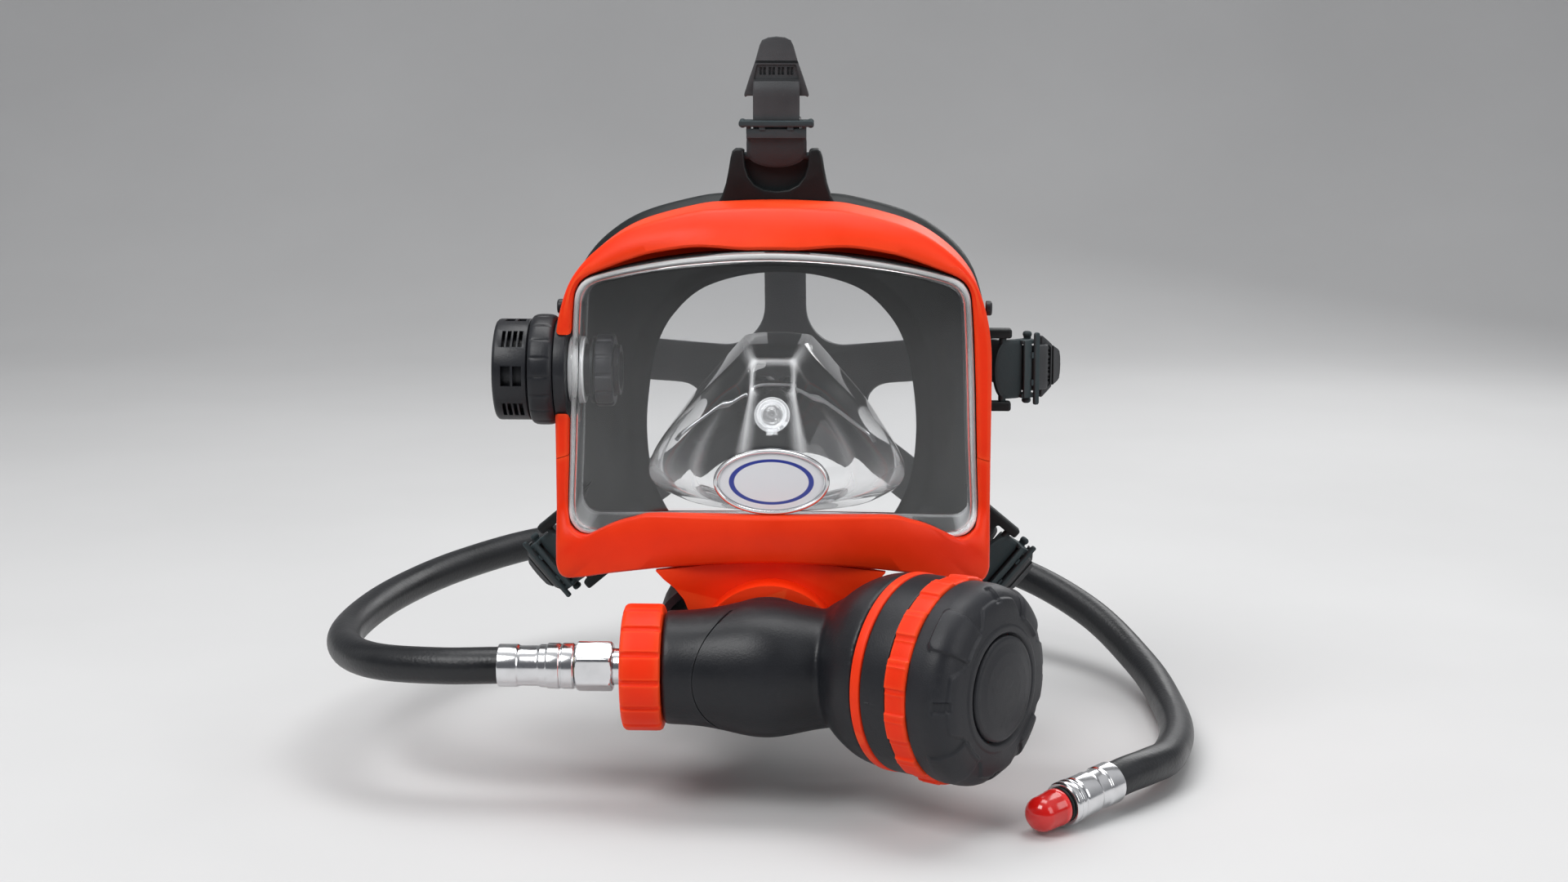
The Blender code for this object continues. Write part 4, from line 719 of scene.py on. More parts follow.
def upper_frame_body(steps):
    corner = 1.5
    rings = []
    for angle in arc_angles(FRAME_OUT, SEAM + SEAM_GAP, math.pi - SEAM - SEAM_GAP, steps):
        outer = FRAME_OUT.at(angle)
        inner = VISOR_OUT.at(angle, 0, VISOR_FIT)
        x = abs(outer.x)
        top = smooth((outer.z - 20) / 40)
        crown = 1 - (x / FRAME_HALF_W) ** 2
        front = -12 - 13.5 * crown * top
        slope = 11.0 * top * crown
        inward = (inner - outer).normalized()
        width = (inner - outer).length
        # the inner edge steps back on both sides of the top
        recess = 0.2 + 3.3 * plateau(x, 10, 45, 58, 88) * top
        deep = 1.0 + 8.0 * plateau(x, 8, 43, 60, 90) * top
        lip = width - recess
        foot = front + corner * 1.1
        # (distance inward, y) round the section
        section = [
            (0, FRAME_BACK_Y),
            (0, front + slope + corner * 1.6),
            (corner * 0.12, front + slope * 0.97 + corner * 0.9),
            (corner * 0.5, front + slope * 0.93 + corner * 0.3),
            (corner * 1.1, front + slope * 0.87),
            (lip * 0.34, front + slope * 0.52 - 0.5 * top),
            (lip * 0.62, front + slope * 0.22 - 0.5 * top),
            (lip - corner, front),
            (lip - corner * 0.45, front + corner * 0.18),
            (lip - corner * 0.1, front + corner * 0.55),
            (lip, foot),
            (lip + 0.02, foot + deep),
            (width, foot + deep + 1.2 * recess / 4),
            (width, FRAME_BACK_Y)]
        ring = []
        for inset, y in section:
            p = outer + inward * inset
            ring.append(Vector((p.x, y, p.z)))
        rings.append(ring)
    return loft(rings)


def lower_frame_body(steps):
    corner = 1.6
    rings = []
    for angle in arc_angles(FRAME_OUT, -math.pi - SEAM + SEAM_GAP, SEAM - SEAM_GAP, steps):
        outer = FRAME_OUT.at(angle)
        inner = VISOR_OUT.at(angle, 0, VISOR_FIT)
        lip = LIP_OUT.at(angle)
        low = smooth((-outer.z - 48) / 20)     # 0 at the sides, 1 along the bottom bar
        edge = inner.length - 0.15
        lip = inner.normalized() * (edge * (1 - low) + min(lip.length, edge) * low)
        inward = (inner - outer).normalized()
        width, lip_w = (inner - outer).length, (lip - outer).length

        def back_y(p):
            return (1 - low) * -10 + low * (visor_y_near(p) - 0.9)

        def point(inset, lift=0.0, y=None):
            """Point on the front face, lifted backward, or at a given y."""
            p = outer + inward * inset
            if y is None:
                thick = 2.7 + 4.6 * (1 - (p.x / FRAME_HALF_W) ** 2)
                y = back_y(p) - (1 - low) * 2 - low * thick + lift
            return Vector((p.x, y, p.z))
        rings.append([
            point(0, y=FRAME_BACK_Y),
            point(0, corner * 1.5 + low),
            point(corner * 0.12, corner * 0.85 + 0.8 * low),
            point(corner * 0.5, corner * 0.28 + 0.6 * low),
            point(corner * 1.1, 0.45 * low),
            point(0.36 * lip_w, -0.5 * low),
            point(0.66 * lip_w, -0.5 * low),
            point(lip_w - corner),
            point(lip_w - corner * 0.45, corner * 0.18),
            point(lip_w - corner * 0.1, corner * 0.55),
            point(lip_w, corner * 1.05),
            point(lip_w, y=back_y(lip)),
            point(width, y=back_y(inner)),
            point(width, y=FRAME_BACK_Y)])
    return loft(rings)


def make_frame_halves():
    upper = mesh_object(upper_frame_body(190))
    cut(upper, cylinder(80, 112, 22.8, VALVE, RIGHT, 72))
    piece("upper_frame", "orange", upper)
    piece("lower_frame", "orange", mesh_object(lower_frame_body(190)))


def make_frame_screws():
    """Hex socket screws in the frame's sides."""
    screw_z = 36
    origin = (0, 8, screw_z)
    angle = math.atan2(screw_z, 91)
    side_x = FRAME_OUT.radius(angle) * math.cos(angle)
    tip = side_x + 3.2
    for axis, name in ((LEFT, "frame_screw_left"), (RIGHT, "frame_screw_right")):
        head = [(side_x + 0.4, 3.2), (side_x + 2.6, 3.2), (tip, 2.6), (tip, 0.2)]
        screw = mesh_object(soft_solid(head, origin, axis, 36, 0.5))
        cut(screw, cylinder(side_x + 1.7, side_x + 5, 1.25, origin, axis, 6))
        piece(name, "black", screw)


def make_visor_bead():
    """Rubber bead between frame and visor, seen as a dark line."""
    angles = full_turn(VISOR_OUT, 200)
    back_y = 26

    def front_ring(grow, lift):
        out = []
        for angle in angles:
            p = VISOR_OUT.at(angle, 0, grow)
            low = smooth((-p.z - 40) / 14)
            limit = -9.0 if p.z < 20 else -14.0 - 9.0 * (1 - (p.x / 90) ** 2)
            y = max(visor_y_near(p) + 5.0, limit)
            y = y * (1 - low) + (visor_y_near(p) + 2.5) * low
            out.append(Vector((p.x, y + lift, p.z)))
        return out

    def back_ring(grow):
        return [VISOR_OUT.at(angle, back_y, grow) for angle in angles]
    bead = mesh_object(loft([back_ring(0.12), front_ring(0.12, 0.6), front_ring(0.36, 0.0),
                             front_ring(0.62, 0.6), back_ring(0.62)], loop=True))
    cut(bead, cylinder(80, 112, 22.6, VALVE, RIGHT, 72))
    extra("visor_bead", "rubber", bead)


# ---------------------------------------------------------------- chin
# squared oval duct from the regulator into the mask: y, half width, half height, centre z
DUCT = [(-26.8, 50, 31, -106), (5, 50, 31, -105), (40, 46, 24, -98), (66, 42, 20, -88)]
EXHAUST = (0, 12, 0)              # the exhaust spout's axis runs down through this point


def duct_ring(y, grow):
    stations, *columns = zip(*DUCT)
    half_w, half_h, mid_z = (float(np.interp(y, stations, c)) for c in columns)

    def squared(v):
        return math.copysign(abs(v) ** 0.75, v)
    return [Vector(((half_w + grow) * squared(math.cos(angle)), y,
                    mid_z + (half_h + grow) * squared(math.sin(angle)))) for angle in circle(72)]


def tube_profile(start, stop, grow=0.0):
    """Outline of the regulator tube; it swells where it meets the outlet."""
    return [(x, REG_R + grow + 5.2 * math.exp(-((x + 0.5) / 20.0) ** 2))
            for x in range(start, stop, 2)]


def make_chin_plate():
    top = [(49, 19.4), (40, 20.6), (28, 22.1), (14, 23.0), (0, 23.4)]
    flare = [(35, 2), (37, 7), (41, 12), (45.5, 15.6)]
    outline = flip(top) + top[-2::-1] + flare[::-1] + flip(flare)
    plate = mesh_object(prism(outline, (0, -31.5, -92), BACK, UP, 4.2))
    arc = [math.radians(a) for a in range(30, 151, 3)]
    rim = [(30.6 * math.cos(a), 30.6 * math.sin(a)) for a in arc] + \
          [(24.9 * math.cos(a), 24.9 * math.sin(a)) for a in reversed(arc)]
    add(plate, prism(rim, (0, -45.5, -106), BACK, UP, 16.4))
    cut(plate, cylinder(-60, -20, 25.9, OUTLET, BACK, 96))
    cut(plate, solid(tube_profile(-60, 61, 24.3 - REG_R), REG, LEFT, 96))
    bevel(plate, 0.7, segments=3)
    piece("chin_plate", "orange", plate)


def make_chin_port():
    wall = 3.0
    stations = (-26.8, -20, -8, 5, 16, 28, 40, 52, 66)
    duct = mesh_object(loft([duct_ring(y, 0) for y in stations] +
                            [duct_ring(y, -wall) for y in reversed(stations)], loop=True))
    add(duct, soft_solid([(129, 13), (141, 13)], EXHAUST, DOWN, 48, 1.2))
    cut(duct, cylinder(118, 146, 9.6, EXHAUST, DOWN, 40))
    piece("chin_port", "black", duct)
    solid_piece("exhaust_flap", "silicone", [(141.4, 11.4), (142.3, 11.4), (143.2, 3)],
                EXHAUST, DOWN, steps=48, soft=0.3)


# ---------------------------------------------------------------- visor and badge
def visor_body(steps):
    angles = full_turn(VISOR_OUT, steps)

    def ring(grow, y=None, scale=1.0, dy=0.0):
        """Ring at y, or on the curved front if y is None."""
        out = []
        for angle in angles:
            p = VISOR_OUT.at(angle, 0, grow) * scale
            out.append(Vector((p.x, (visor_y(p.x) if y is None else y) + dy, p.z)))
        return out
    t = VISOR_T
    scales = (0.12, 0.3, 0.48, 0.65, 0.8, 0.92)
    rings = [ring(-4.4, scale=s) for s in scales] + [ring(-4.4), ring(-3.2)]
    for k in range(6):                         # outer corner
        a = math.pi / 2 * k / 5
        rings.append(ring(-2.2 + 2.2 * math.sin(a), dy=2.4 * (1 - math.cos(a))))
    # (grow, distance in front of the back edge) round the side wall
    for grow, ahead in ((0, 6), (0, 0.5), (-0.5, 0), (-t + 0.5, 0), (-t, 0.5), (-t, 6)):
        rings.append(ring(grow, VISOR_BACK_Y - ahead))
    for k in range(5):                         # inner corner
        a = math.pi / 2 * (1 - k / 4)
        rings.append(ring(-t - 1.8 + 1.8 * math.sin(a), dy=t + 1.8 * (1 - math.cos(a))))
    rings += [ring(-5.4, dy=t)] + [ring(-5.4, scale=s, dy=t) for s in reversed(scales)]
    return loft(rings)


def make_visor():
    """Curved visor with a collar and hole for the ambient valve."""
    visor = mesh_object(visor_body(220), sharp=50)
    add(visor, soft_solid([(81, 14.6), (88.2, 14.6)], VALVE, RIGHT, 72, 0.8), sharp=50)
    cut(visor, cylinder(70, 95, 11.5, VALVE, RIGHT, 72), sharp=50)
    piece("visor", "clear", visor)


def badge_oval(half_w, half_h, y):
    return [Vector((BADGE[0] + half_w * math.cos(angle), y, BADGE[2] + half_h * math.sin(angle)))
            for angle in circle(120)]


def make_badge():
    """Bezel round a plain domed enamel plate."""
    # (inset, forward) round the bezel's section
    section = [(0, 0), (0, 1.6), (0.25, 2.2), (0.8, 2.6), (1.4, 2.6), (1.8, 2.3), (2.0, 1.9),
               (2.0, 0)]
    piece("badge_bezel", "chrome", mesh_object(loft(
        [badge_oval(24.6 - i, 14.2 - i, BADGE[1] - f) for i, f in section], loop=True)))
    rows = [(1, -31.0), (1, -32.2), (0.985, -32.4)] + \
           [(s, -32.4 - 0.45 * (1 - s * s)) for s in (0.93, 0.86, 0.7, 0.5, 0.3, 0.1)]
    piece("badge_plate", "badge", mesh_object(loft(
        [badge_oval(BADGE_HALF_W * s, BADGE_HALF_H * s, y) for s, y in rows])))


# ---------------------------------------------------------------- ambient breathing valve
def slot_boxes(rows, width, angles, radius):
    """Cutting boxes round the valve; rows are (start, end) along its axis."""
    boxes = []
    for angle in angles:
        for s0, s1 in rows:
            b = block((0, 0, radius), (s1 - s0, width, 7.0))
            turn = Matrix.Rotation(angle, 3, "X")
            bmesh.ops.rotate(b, cent=(0, 0, 0), matrix=turn, verts=b.verts[:])
            bmesh.ops.translate(b, vec=(-(s0 + s1) / 2, VALVE[1], VALVE[2]), verts=b.verts[:])
            boxes.append(b)
    return join(*boxes)


def make_valve_port():
    port = mesh_object(soft_ring([
        (66, 8.6), (66, 11), (88.5, 11), (88.5, 22.2), (93.6, 22.2), (93.6, 18.5), (95, 18.5),
        (95, 8.6)], VALVE, RIGHT, 96, 0.4))
    cross_centre = (-90, VALVE[1], VALVE[2])
    add(port, block(cross_centre, (3, 18.6, 3)))
    add(port, block(cross_centre, (3.4, 3, 18.6)))
    cut(port, cylinder(84, 98, 3.4, VALVE, RIGHT, 48))
    piece("abv_port_body", "black", port)


def make_valve_nut():
    profile = [(68.5, 11.4), (68.5, 14.8), (68.9, 15.4), (69.6, 15.8), (72, 15.9), (75.6, 15.9),
               (76.3, 15.3), (76.3, 11.4)]

    def grooves(s, r, angle):
        return -0.5 * (1 - pad_wave(angle, 12, 0.7, 0.16)) if r > 14 else 0.0
    piece("abv_lock_nut", "black",
          mesh_object(shaped_ring(profile, VALVE, RIGHT, 192, grooves), sharp=30))


def make_valve_knob():
    profile = [(93.9, 18.9), (93.9, 22.3), (94.2, 22.9), (94.9, 23.5), (96.2, 23.95), (98, 24.1),
               (101, 24.1), (102.6, 23.9), (103.8, 23.4), (104.4, 22.7), (104.5, 22.0),
               (104.5, 14.5), (99, 14.5), (99, 18.9)]

    def grip(s, r, angle):
        if r < 22.5:
            return 0.0
        return -0.35 * (1 - pad_wave(angle, 18, 0.84, 0.10)) * smooth((s - 95.4) / 0.8) * \
            smooth((103.4 - s) / 0.8)
    piece("abv_knob", "black",
          mesh_object(shaped_ring(profile, VALVE, RIGHT, 288, grip), sharp=30))


def make_valve_shutter():
    shutter = mesh_object(soft_ring([(104.8, 16.6), (104.8, 18.6), (116.4, 18.6), (116.4, 16.6)],
                                    VALVE, RIGHT, 96, 0.3))
    angles = [2 * math.pi * (k + 0.5) / 8 for k in range(8)]
    cut(shutter, slot_boxes([(107.2, 114.4)], 5.0, angles, 17.6))
    piece("abv_shutter", "black", shutter)


def make_valve_cage():
    """Slotted outer cage on a stem."""
    cage = mesh_object(turned([
        (88, 0), (88, 3.1), (116.8, 3.1), (116.8, 18.9), (104.9, 18.9), (104.9, 21.5),
        (105.4, 22.0), (118.3, 22.0), (119.2, 21.7), (119.8, 21.1), (120, 20.2), (120, 0)],
        VALVE, RIGHT, 128))
    fine_rows = [(107.0, 108.7), (109.5, 111.2), (112.0, 113.7), (114.5, 116.0)]
    wide_rows = [(107.0, 110.8), (111.8, 116.0)]
    cut(cage, slot_boxes(fine_rows, 8.6, circle(8)[1::2], 20.6))
    cut(cage, slot_boxes(wide_rows, 8.6, circle(8)[::2], 20.6))
    # shallow ring sunk into the end face
    cut(cage, turned([(119.3, 9.0), (119.3, 16.0), (121, 16.4), (121, 8.6)], VALVE, RIGHT, 96))
    bevel(cage, 0.25, segments=2)
    piece("abv_cage", "black", cage)


def make_valve():
    make_valve_port()
    ring_piece("abv_gasket", "rubber", [(76.8, 11.4), (76.8, 14.6), (78.4, 14.6), (78.4, 11.4)],
               VALVE, RIGHT, steps=96, soft=0.4)
    make_valve_nut()
    make_valve_knob()
    make_valve_shutter()
    make_valve_cage()


# ---------------------------------------------------------------- clear nose hood
# rings from front to back; each is a half outline from top middle to bottom middle: x, z, y
HOOD_RINGS = [
    [(0, 1.5, -9), (9.5, 1.5, -9), (11.5, -14, -13.5), (14, -34, -18), (12, -46, -18),
     (0, -48, -18)],
    [(0, 14, 0), (9, 14, 0), (19, -3, -1), (35, -26, -4), (35, -48, -6), (0, -51, -6)],
    [(0, 18, 14), (12, 17, 14), (30, 0, 12), (50, -26, 12), (53, -49, 12), (0, -53, 12)],
    [(0, 20, 34), (14, 19, 34), (36, -6, 32), (61, -34, 32), (62, -52, 32), (0, -56, 34)],
    [(0, 20, 56), (15, 18, 56), (38, -8, 54), (57, -36, 52), (54, -60, 52), (0, -66, 56)],
]
CHECK_AXIS = Vector((0, -1, 0.28)).normalized()
CHECK = Vector((0, -11.9, -8.0))  # centre of the check valve on the hood's front
# right half of the nose block wire, from its end to beside the middle
WIRE_HALF = [(-43.0, 20.6, -24.8), (-39.2, 26, -21.2), (-20, 30, -8.6), (-9, 31, -2)]


def hood_ring(half, inset, back):
    """Full ring, drawn in towards its centre by inset and moved back."""
    centre_z = -22
    out = []
    for x, z, y in half + [(-x, z, y) for x, z, y in reversed(half[1:-1])]:
        r = math.hypot(x, z - centre_z)
        k = (r - inset) / r
        out.append(Vector((x * k, y + back, centre_z + (z - centre_z) * k)))
    return out


def cap_with_quads(bm, ring, turn_over):
    """Closes a ring with quads across the middle, so that it subdivides cleanly."""
    n = len(ring)
    m = n // 2
    for k in range(m):
        if k == 0:
            face = (ring[0], ring[1], ring[n - 1])
        elif k == m - 1:
            face = (ring[k], ring[k + 1], ring[n - k])
        else:
            face = (ring[k], ring[k + 1], ring[n - k - 1], ring[n - k])
        bm.faces.new(tuple(reversed(face)) if turn_over else face)


def make_hood():
    wall = 2.0
    outer = [hood_ring(h, 0, 0) for h in HOOD_RINGS]
    inner = [hood_ring(h, wall, 1.2) for h in HOOD_RINGS[1:-1]]
    inner_front = hood_ring(HOOD_RINGS[0], 0.5, 2.2)
    inner_back = hood_ring(HOOD_RINGS[-1], wall, 0)
    rings = outer + [inner_back] + inner[::-1] + [inner_front]
    bm = bmesh.new()
    rows = [[bm.verts.new(p) for p in r] for r in rings]
    n = len(rings[0])
    for a, b in zip(rows[:-1], rows[1:]):
        for i in range(n):
            bm.faces.new((a[i], a[(i + 1) % n], b[(i + 1) % n], b[i]))
    cap_with_quads(bm, rows[0], False)
    cap_with_quads(bm, rows[-1], True)
    crease = bm.edges.layers.float.new("crease_edge")
    rim = len(outer) - 1
    for k, strength in ((0, 0.9), (1, 0.9), (-1, 0.6), (rim, 0.9), (rim + 1, 0.9)):
        for i in range(n):
            bm.edges.get((rows[k][i], rows[k][(i + 1) % n]))[crease] = strength
    for a, b in zip(rows[:-1], rows[1:]):
        for i, strength in ((1, 0.92), (n - 1, 0.92), (2, 0.45), (n - 2, 0.45)):
            bm.edges.get((a[i], b[i]))[crease] = strength
    hood = mesh_object(bm, sharp=60)
    subdivide(hood, 3, sharp=60)
    cut(hood, cylinder(-6, 6, 4.6, CHECK, CHECK_AXIS, 64), sharp=50)
    piece("oral_nasal_mask", "hood", hood)


def make_check_valve():
    ring_piece("check_valve_seat", "hood", [
        (0.4, 4.4), (0.4, 7.4), (1.0, 7.7), (1.8, 7.5), (2.2, 6.9), (2.2, 4.4)],
        CHECK, CHECK_AXIS, steps=72, soft=0.25)
    solid_piece("check_valve_flap", "hood", [
        (3.4, 6.4), (3.9, 6.4), (4.25, 5.9), (3.95, 5.0), (4.3, 4.3), (3.95, 3.4), (4.3, 2.5),
        (4.9, 1.8), (5.0, 0.4)], CHECK, CHECK_AXIS, steps=64, soft=0.15)


def make_nose_block():
    """Two angled pads joined by a bridge, on a bent wire."""
    points = WIRE_HALF + [(0, 31, -1)] + [(-x, y, z) for x, y, z in reversed(WIRE_HALF)]
    wire = resample(spline(points, 8), 80)
    piece("nose_block_wire", "steel", mesh_object(pipe(wire, 0.9, 16)))
    right, left = (block((side * 6.2, 37.6, -1.5), (9.2, 10, 9.4), 2.2,
                         Matrix.Rotation(side * 0.42, 3, "Z")) for side in (-1, 1))
    pads = mesh_object(right)
    add(pads, left)
    add(pads, block((0, 34.0, -1.5), (8, 2.6, 4.4)))
    bevel(pads, 0.5, segments=3, angle=30)
    piece("nose_block_pads", "rubber", pads)


# ---------------------------------------------------------------- buckles and strap ends
class Buckle:
    """Local frame of a strap buckle.

    The pin is the hinge and w runs along it, v runs along the plate, m towards the outside.
    root points from the pin into the skirt, tail is the length of the strap's pull end and
    arm_angle the direction in degrees in which the harness arm leaves the hub.
    """

    def __init__(self, name, pin, along, hinge, root, tail, arm_angle):
        self.name = name
        self.pin = Vector(pin)
        self.along = Vector(along).normalized()
        h = Vector(hinge)
        self.hinge = (h - self.along * h.dot(self.along)).normalized()
        self.out = self.hinge.cross(self.along).normalized()
        self.root = Vector(root)
        self.tail = tail
        self.arm_angle = arm_angle

    def at(self, v, m, w=0.0):
        return self.pin + self.along * v + self.out * m + self.hinge * w

    def plate(self, outline, m0, m1):
        """Flat body from a (w, v) outline between two heights."""
        return loft([[self.at(v, m, w) for w, v in outline] for m in (m0, m1)])


BUCKLES = [
    Buckle("top", (0, 36, 99.7), (0, 0, 1), (1, 0, 0), (0, 0, -1), 36.0, 90),
    Buckle("temple_left", (101, 44, 4), (0.80, 0.60, 0), (0, 0, -1), (-1, 0, 0), 16.0, 2),
    Buckle("temple_right", (-101, 44, 4), (-0.80, 0.60, 0), (0, 0, 1), (1, 0, 0), 16.0, 178),
    Buckle("jaw_left", (95.5, 46, -82), (0.55, 0.70, -0.46), (-0.64, 0, -0.77),
           (-0.77, 0, 0.64), 14.0, -50),
    Buckle("jaw_right", (-95.5, 46, -82), (-0.55, 0.70, -0.46), (-0.64, 0, 0.77),
           (0.77, 0, 0.64), 14.0, -130),
]


def make_buckle(b):
    """D plate that swells towards its bar, with a strap slot, side rails and a front bar."""
    def front(v):
        return 1.5 + 1.9 * smooth((v + 5.0) / 14.0)
    quarter = [math.pi / 2 * k / 24 for k in range(25)]
    half = [(13.2 * math.sin(a), 1.5 - 6.5 * math.cos(a)) for a in quarter]
    half += [(13.2, 6.0), (13.0, 8.9)]
    outline = half + flip(half[:0:-1])
    inner = [(w * 0.93, v + (0.55 if v < 8 else -0.3)) for w, v in outline]
    buckle = mesh_object(loft([
        [b.at(v, -1.4, w) for w, v in inner],
        [b.at(v, -0.9, w) for w, v in outline],
        [b.at(v, front(v) - 0.5, w) for w, v in outline],
        [b.at(v, front(v) - 0.1, w * 0.985) for w, v in inner],
        [b.at(v + (0.25 if v < 8 else -0.1), front(v) + 0.12, w * 0.95) for w, v in inner]]), 40)
    # cover lip in front of the slot
    lip = mesh_object(b.plate([(-13.0, 8.0), (-13.2, 12.2), (13.2, 12.2), (13.0, 8.0)], 4.7, 6.0))
    bevel(lip, 0.35, segments=2)
    parts = [lip]
    rail_side = [(7.5, -1.3), (15.2, -1.3), (15.6, 0.4), (15.6, 6.6), (12.0, 6.0), (7.5, 5.2)]
    for side in (-1, 1):
        rail = mesh_object(loft([[b.at(v, m, side * w) for v, m in rail_side]
                                 for w in (11.3, 13.1)]))
        bevel(rail, 0.35, segments=2)
        parts.append(rail)
    knob = [(-16.4, 1.1), (-16.0, 1.8), (-15.2, 2.1), (-14.4, 2.0), (-13.9, 1.7)]
    crossbar = knob + [(-s, r) for s, r in reversed(knob)]
    parts.append(mesh_object(soft_solid(crossbar, b.at(14.3, 0), b.hinge, 40, 0.2)))
    bar = rounded_outline(rectangle(-16.4, 13.0, 16.4, 15.7), 1.1, 4)
    front_bar = mesh_object(b.plate(bar, 5.75, 7.5))
    bevel(front_bar, 0.5, segments=3)
    parts.append(front_bar)
    for side in (-1, 1):
        nub = rectangle(side * 6.2 - 1.3, 11.6, side * 6.2 + 1.3, 13.4)
        parts.append(mesh_object(b.plate(nub, 5.4, 6.6)))
    parts.append(mesh_object(soft_solid([(-17.2, 1.7), (17.2, 1.7)], b.at(0, 0), b.hinge, 40, 0.3)))
    for part in parts:
        combine(buckle, part)
    piece("buckle_" + b.name, "buckle", buckle)


# cross-section of the strap: (offset through its thickness, place across its width)
STRAP_SECTION = [
    (-0.946, -9.7), (-1.1, -5.0), (-1.1, 5.0), (-0.946, 9.7), (-0.44, 10.22), (0.44, 10.22),
    (0.946, 9.7), (1.1, 5.0), (1.1, -5.0), (0.946, -9.7), (0.44, -10.22), (-0.44, -10.22)]


def strap_loop(b):
    """Strap that wraps the crossbar; its path is (v, m)."""
    start, tail = 16, b.tail
    path = spline([(v, m, 0) for v, m in [
        (15.2, -13.2), (13.4, -8.0), (11.6, -3.6), (11.0, 0.0), (12.4, 3.2), (start, 4.3),
        (start + tail * 0.22, 4.35), (start + tail * 0.36, 4.0), (start + tail * 0.45, 2.6)]], 6)
    rings = []
    for i, p in enumerate(path):
        t = (path[min(i + 1, len(path) - 1)] - path[max(i - 1, 0)]).normalized()
        rings.append([b.at(p.x - t.y * k, p.y + t.x * k, w) for k, w in STRAP_SECTION])
    return loft(rings)


def pull_tab(b):
    """Thick tapering tab with a groove, a sunk panel and a row of pockets."""
    v0, v1 = 16 + b.tail * 0.28, 16 + b.tail
    length = v1 - v0
    half = [(13.0, v0 + 0.2), (13.6, v0 - 0.5), (14.2, v0 + 0.4)]
    half += [(w, v0 + length * k) for w, k in (
        (13.9, 0.07), (11.6, 0.34), (9.2, 0.60), (7.4, 0.85), (6.3, 0.94), (3.6, 0.985))]
    half.append((0, v1))
    tab = mesh_object(b.plate(half + flip(half[-2::-1]), -0.6, 3.0))
    bevel(tab, 0.7, segments=3, angle=35)
    groove = v0 + length * 0.575
    cut(tab, b.plate(rectangle(-11.5, groove - 0.6, 11.5, groove + 0.6), 1.9, 4.0))
    low, high = v0 + length * 0.28, groove - 1.1
    panel = [(-10.1, low), (10.1, low), (8.6, high), (-8.6, high)]
    cut(tab, b.plate(rounded_outline(panel, 0.8, 3), 2.2, 4.0))
    pocket_l = min(3.4, (high - low) * 0.55)
    mid = (low + high) / 2 + 0.5
    for j in range(4):
        for side in (-1, 1):
            w = (j - 1.5) * 4.0 + side * 0.8
            pocket = rectangle(w - 0.62, mid - pocket_l / 2, w + 0.62, mid + pocket_l / 2)
            cut(tab, b.plate(pocket, 1.1, 4.0))
    return tab


def make_strap_end(b):
    strap = mesh_object(strap_loop(b), sharp=40)
    combine(strap, pull_tab(b))
    piece("strap_end_" + b.name, "strap", strap)


# ---------------------------------------------------------------- head harness
HUB = Vector((0, 141, -10))


def bezier(p0, p1, p2, p3, t):
    s = 1 - t
    return p0 * s ** 3 + p1 * 3 * s * s * t + p2 * 3 * s * t * t + p3 * t ** 3


class Arm:
    """Harness arm: a curved centre line from the hub to a buckle."""

    def __init__(self, b):
        self.angle = b.arm_angle
        angle = math.radians(self.angle)
        self.out = Vector((math.cos(angle), 0, math.sin(angle)))
        self.across = Vector((-self.out.z, 0, self.out.x))
        self.hinge = b.hinge if b.hinge.dot(self.across) > 0 else -b.hinge
        top = b.name == "top"
        end = b.at(15.9, -15.6)
        near_hub = HUB + self.out * (66 if top else 52)
        near_end = end - b.out * (52 if top else 46)
        self.points = resample([bezier(HUB, near_hub, near_end, end, t / 120)
                                for t in range(121)], 240)
        self.length = sum((q - p).length for p, q in zip(self.points[:-1], self.points[1:]))

    def at(self, s):
        """Point and width direction at distance s from the hub."""
        pts = self.points
        f = min(max(240 * s / self.length, 0), 240)
        i = min(int(f), 239)
        p = pts[i].lerp(pts[i + 1], f - i)
        t = (pts[min(i + 2, 240)] - pts[max(i - 1, 0)]).normalized()
        w = self.across.lerp(self.hinge, smooth((s - 45) / (self.length - 60)))
        return p, (w - t * w.dot(t)).normalized()


def hub_border(arms, gaps, start, fillets, reach, steps):
    """Edge of the hub's sheet as (web, distance, direction, tag).

    A tag (side, arm) marks the three points where an arm starts.
    """
    n, half_w = len(arms), STRAP_HALF_W
    border = []
    for i in range(n):
        angle, s0 = arms[i].angle, start[i]
        half = math.degrees(math.atan(half_w / s0))
        q = math.hypot(half_w, s0)
        border.append(((i - 1) % n, q, angle - half if i else angle - half + 360, ("r", i)))
        border.append((i, s0, angle, ("m", i)))
        border.append((i, q, angle + half, ("l", i)))
        j = (i + 1) % n
        next_angle = arms[j].angle + (360 if i == n - 1 else 0)
        middle = math.radians((angle + next_angle) / 2)
        c = (half_w + fillets[i]) / math.sin(math.radians(gaps[i] / 2))
        for k in range(steps + 1):
            # an end of the fillet that meets an arm's start is already there
            if (k == 0 and reach[i] > s0 - 1) or (k == steps and reach[i] > start[j] - 1):
                continue
            turn = math.radians(angle + 270 + (next_angle + 90 - angle - 270) * k / steps)
            x = c * math.cos(middle) + fillets[i] * math.cos(turn)
            z = c * math.sin(middle) + fillets[i] * math.sin(turn)
            phi = math.degrees(math.atan2(z, x))
            while phi < angle - 1:
                phi += 360
            border.append((i, math.hypot(x, z), phi, None))
    return border


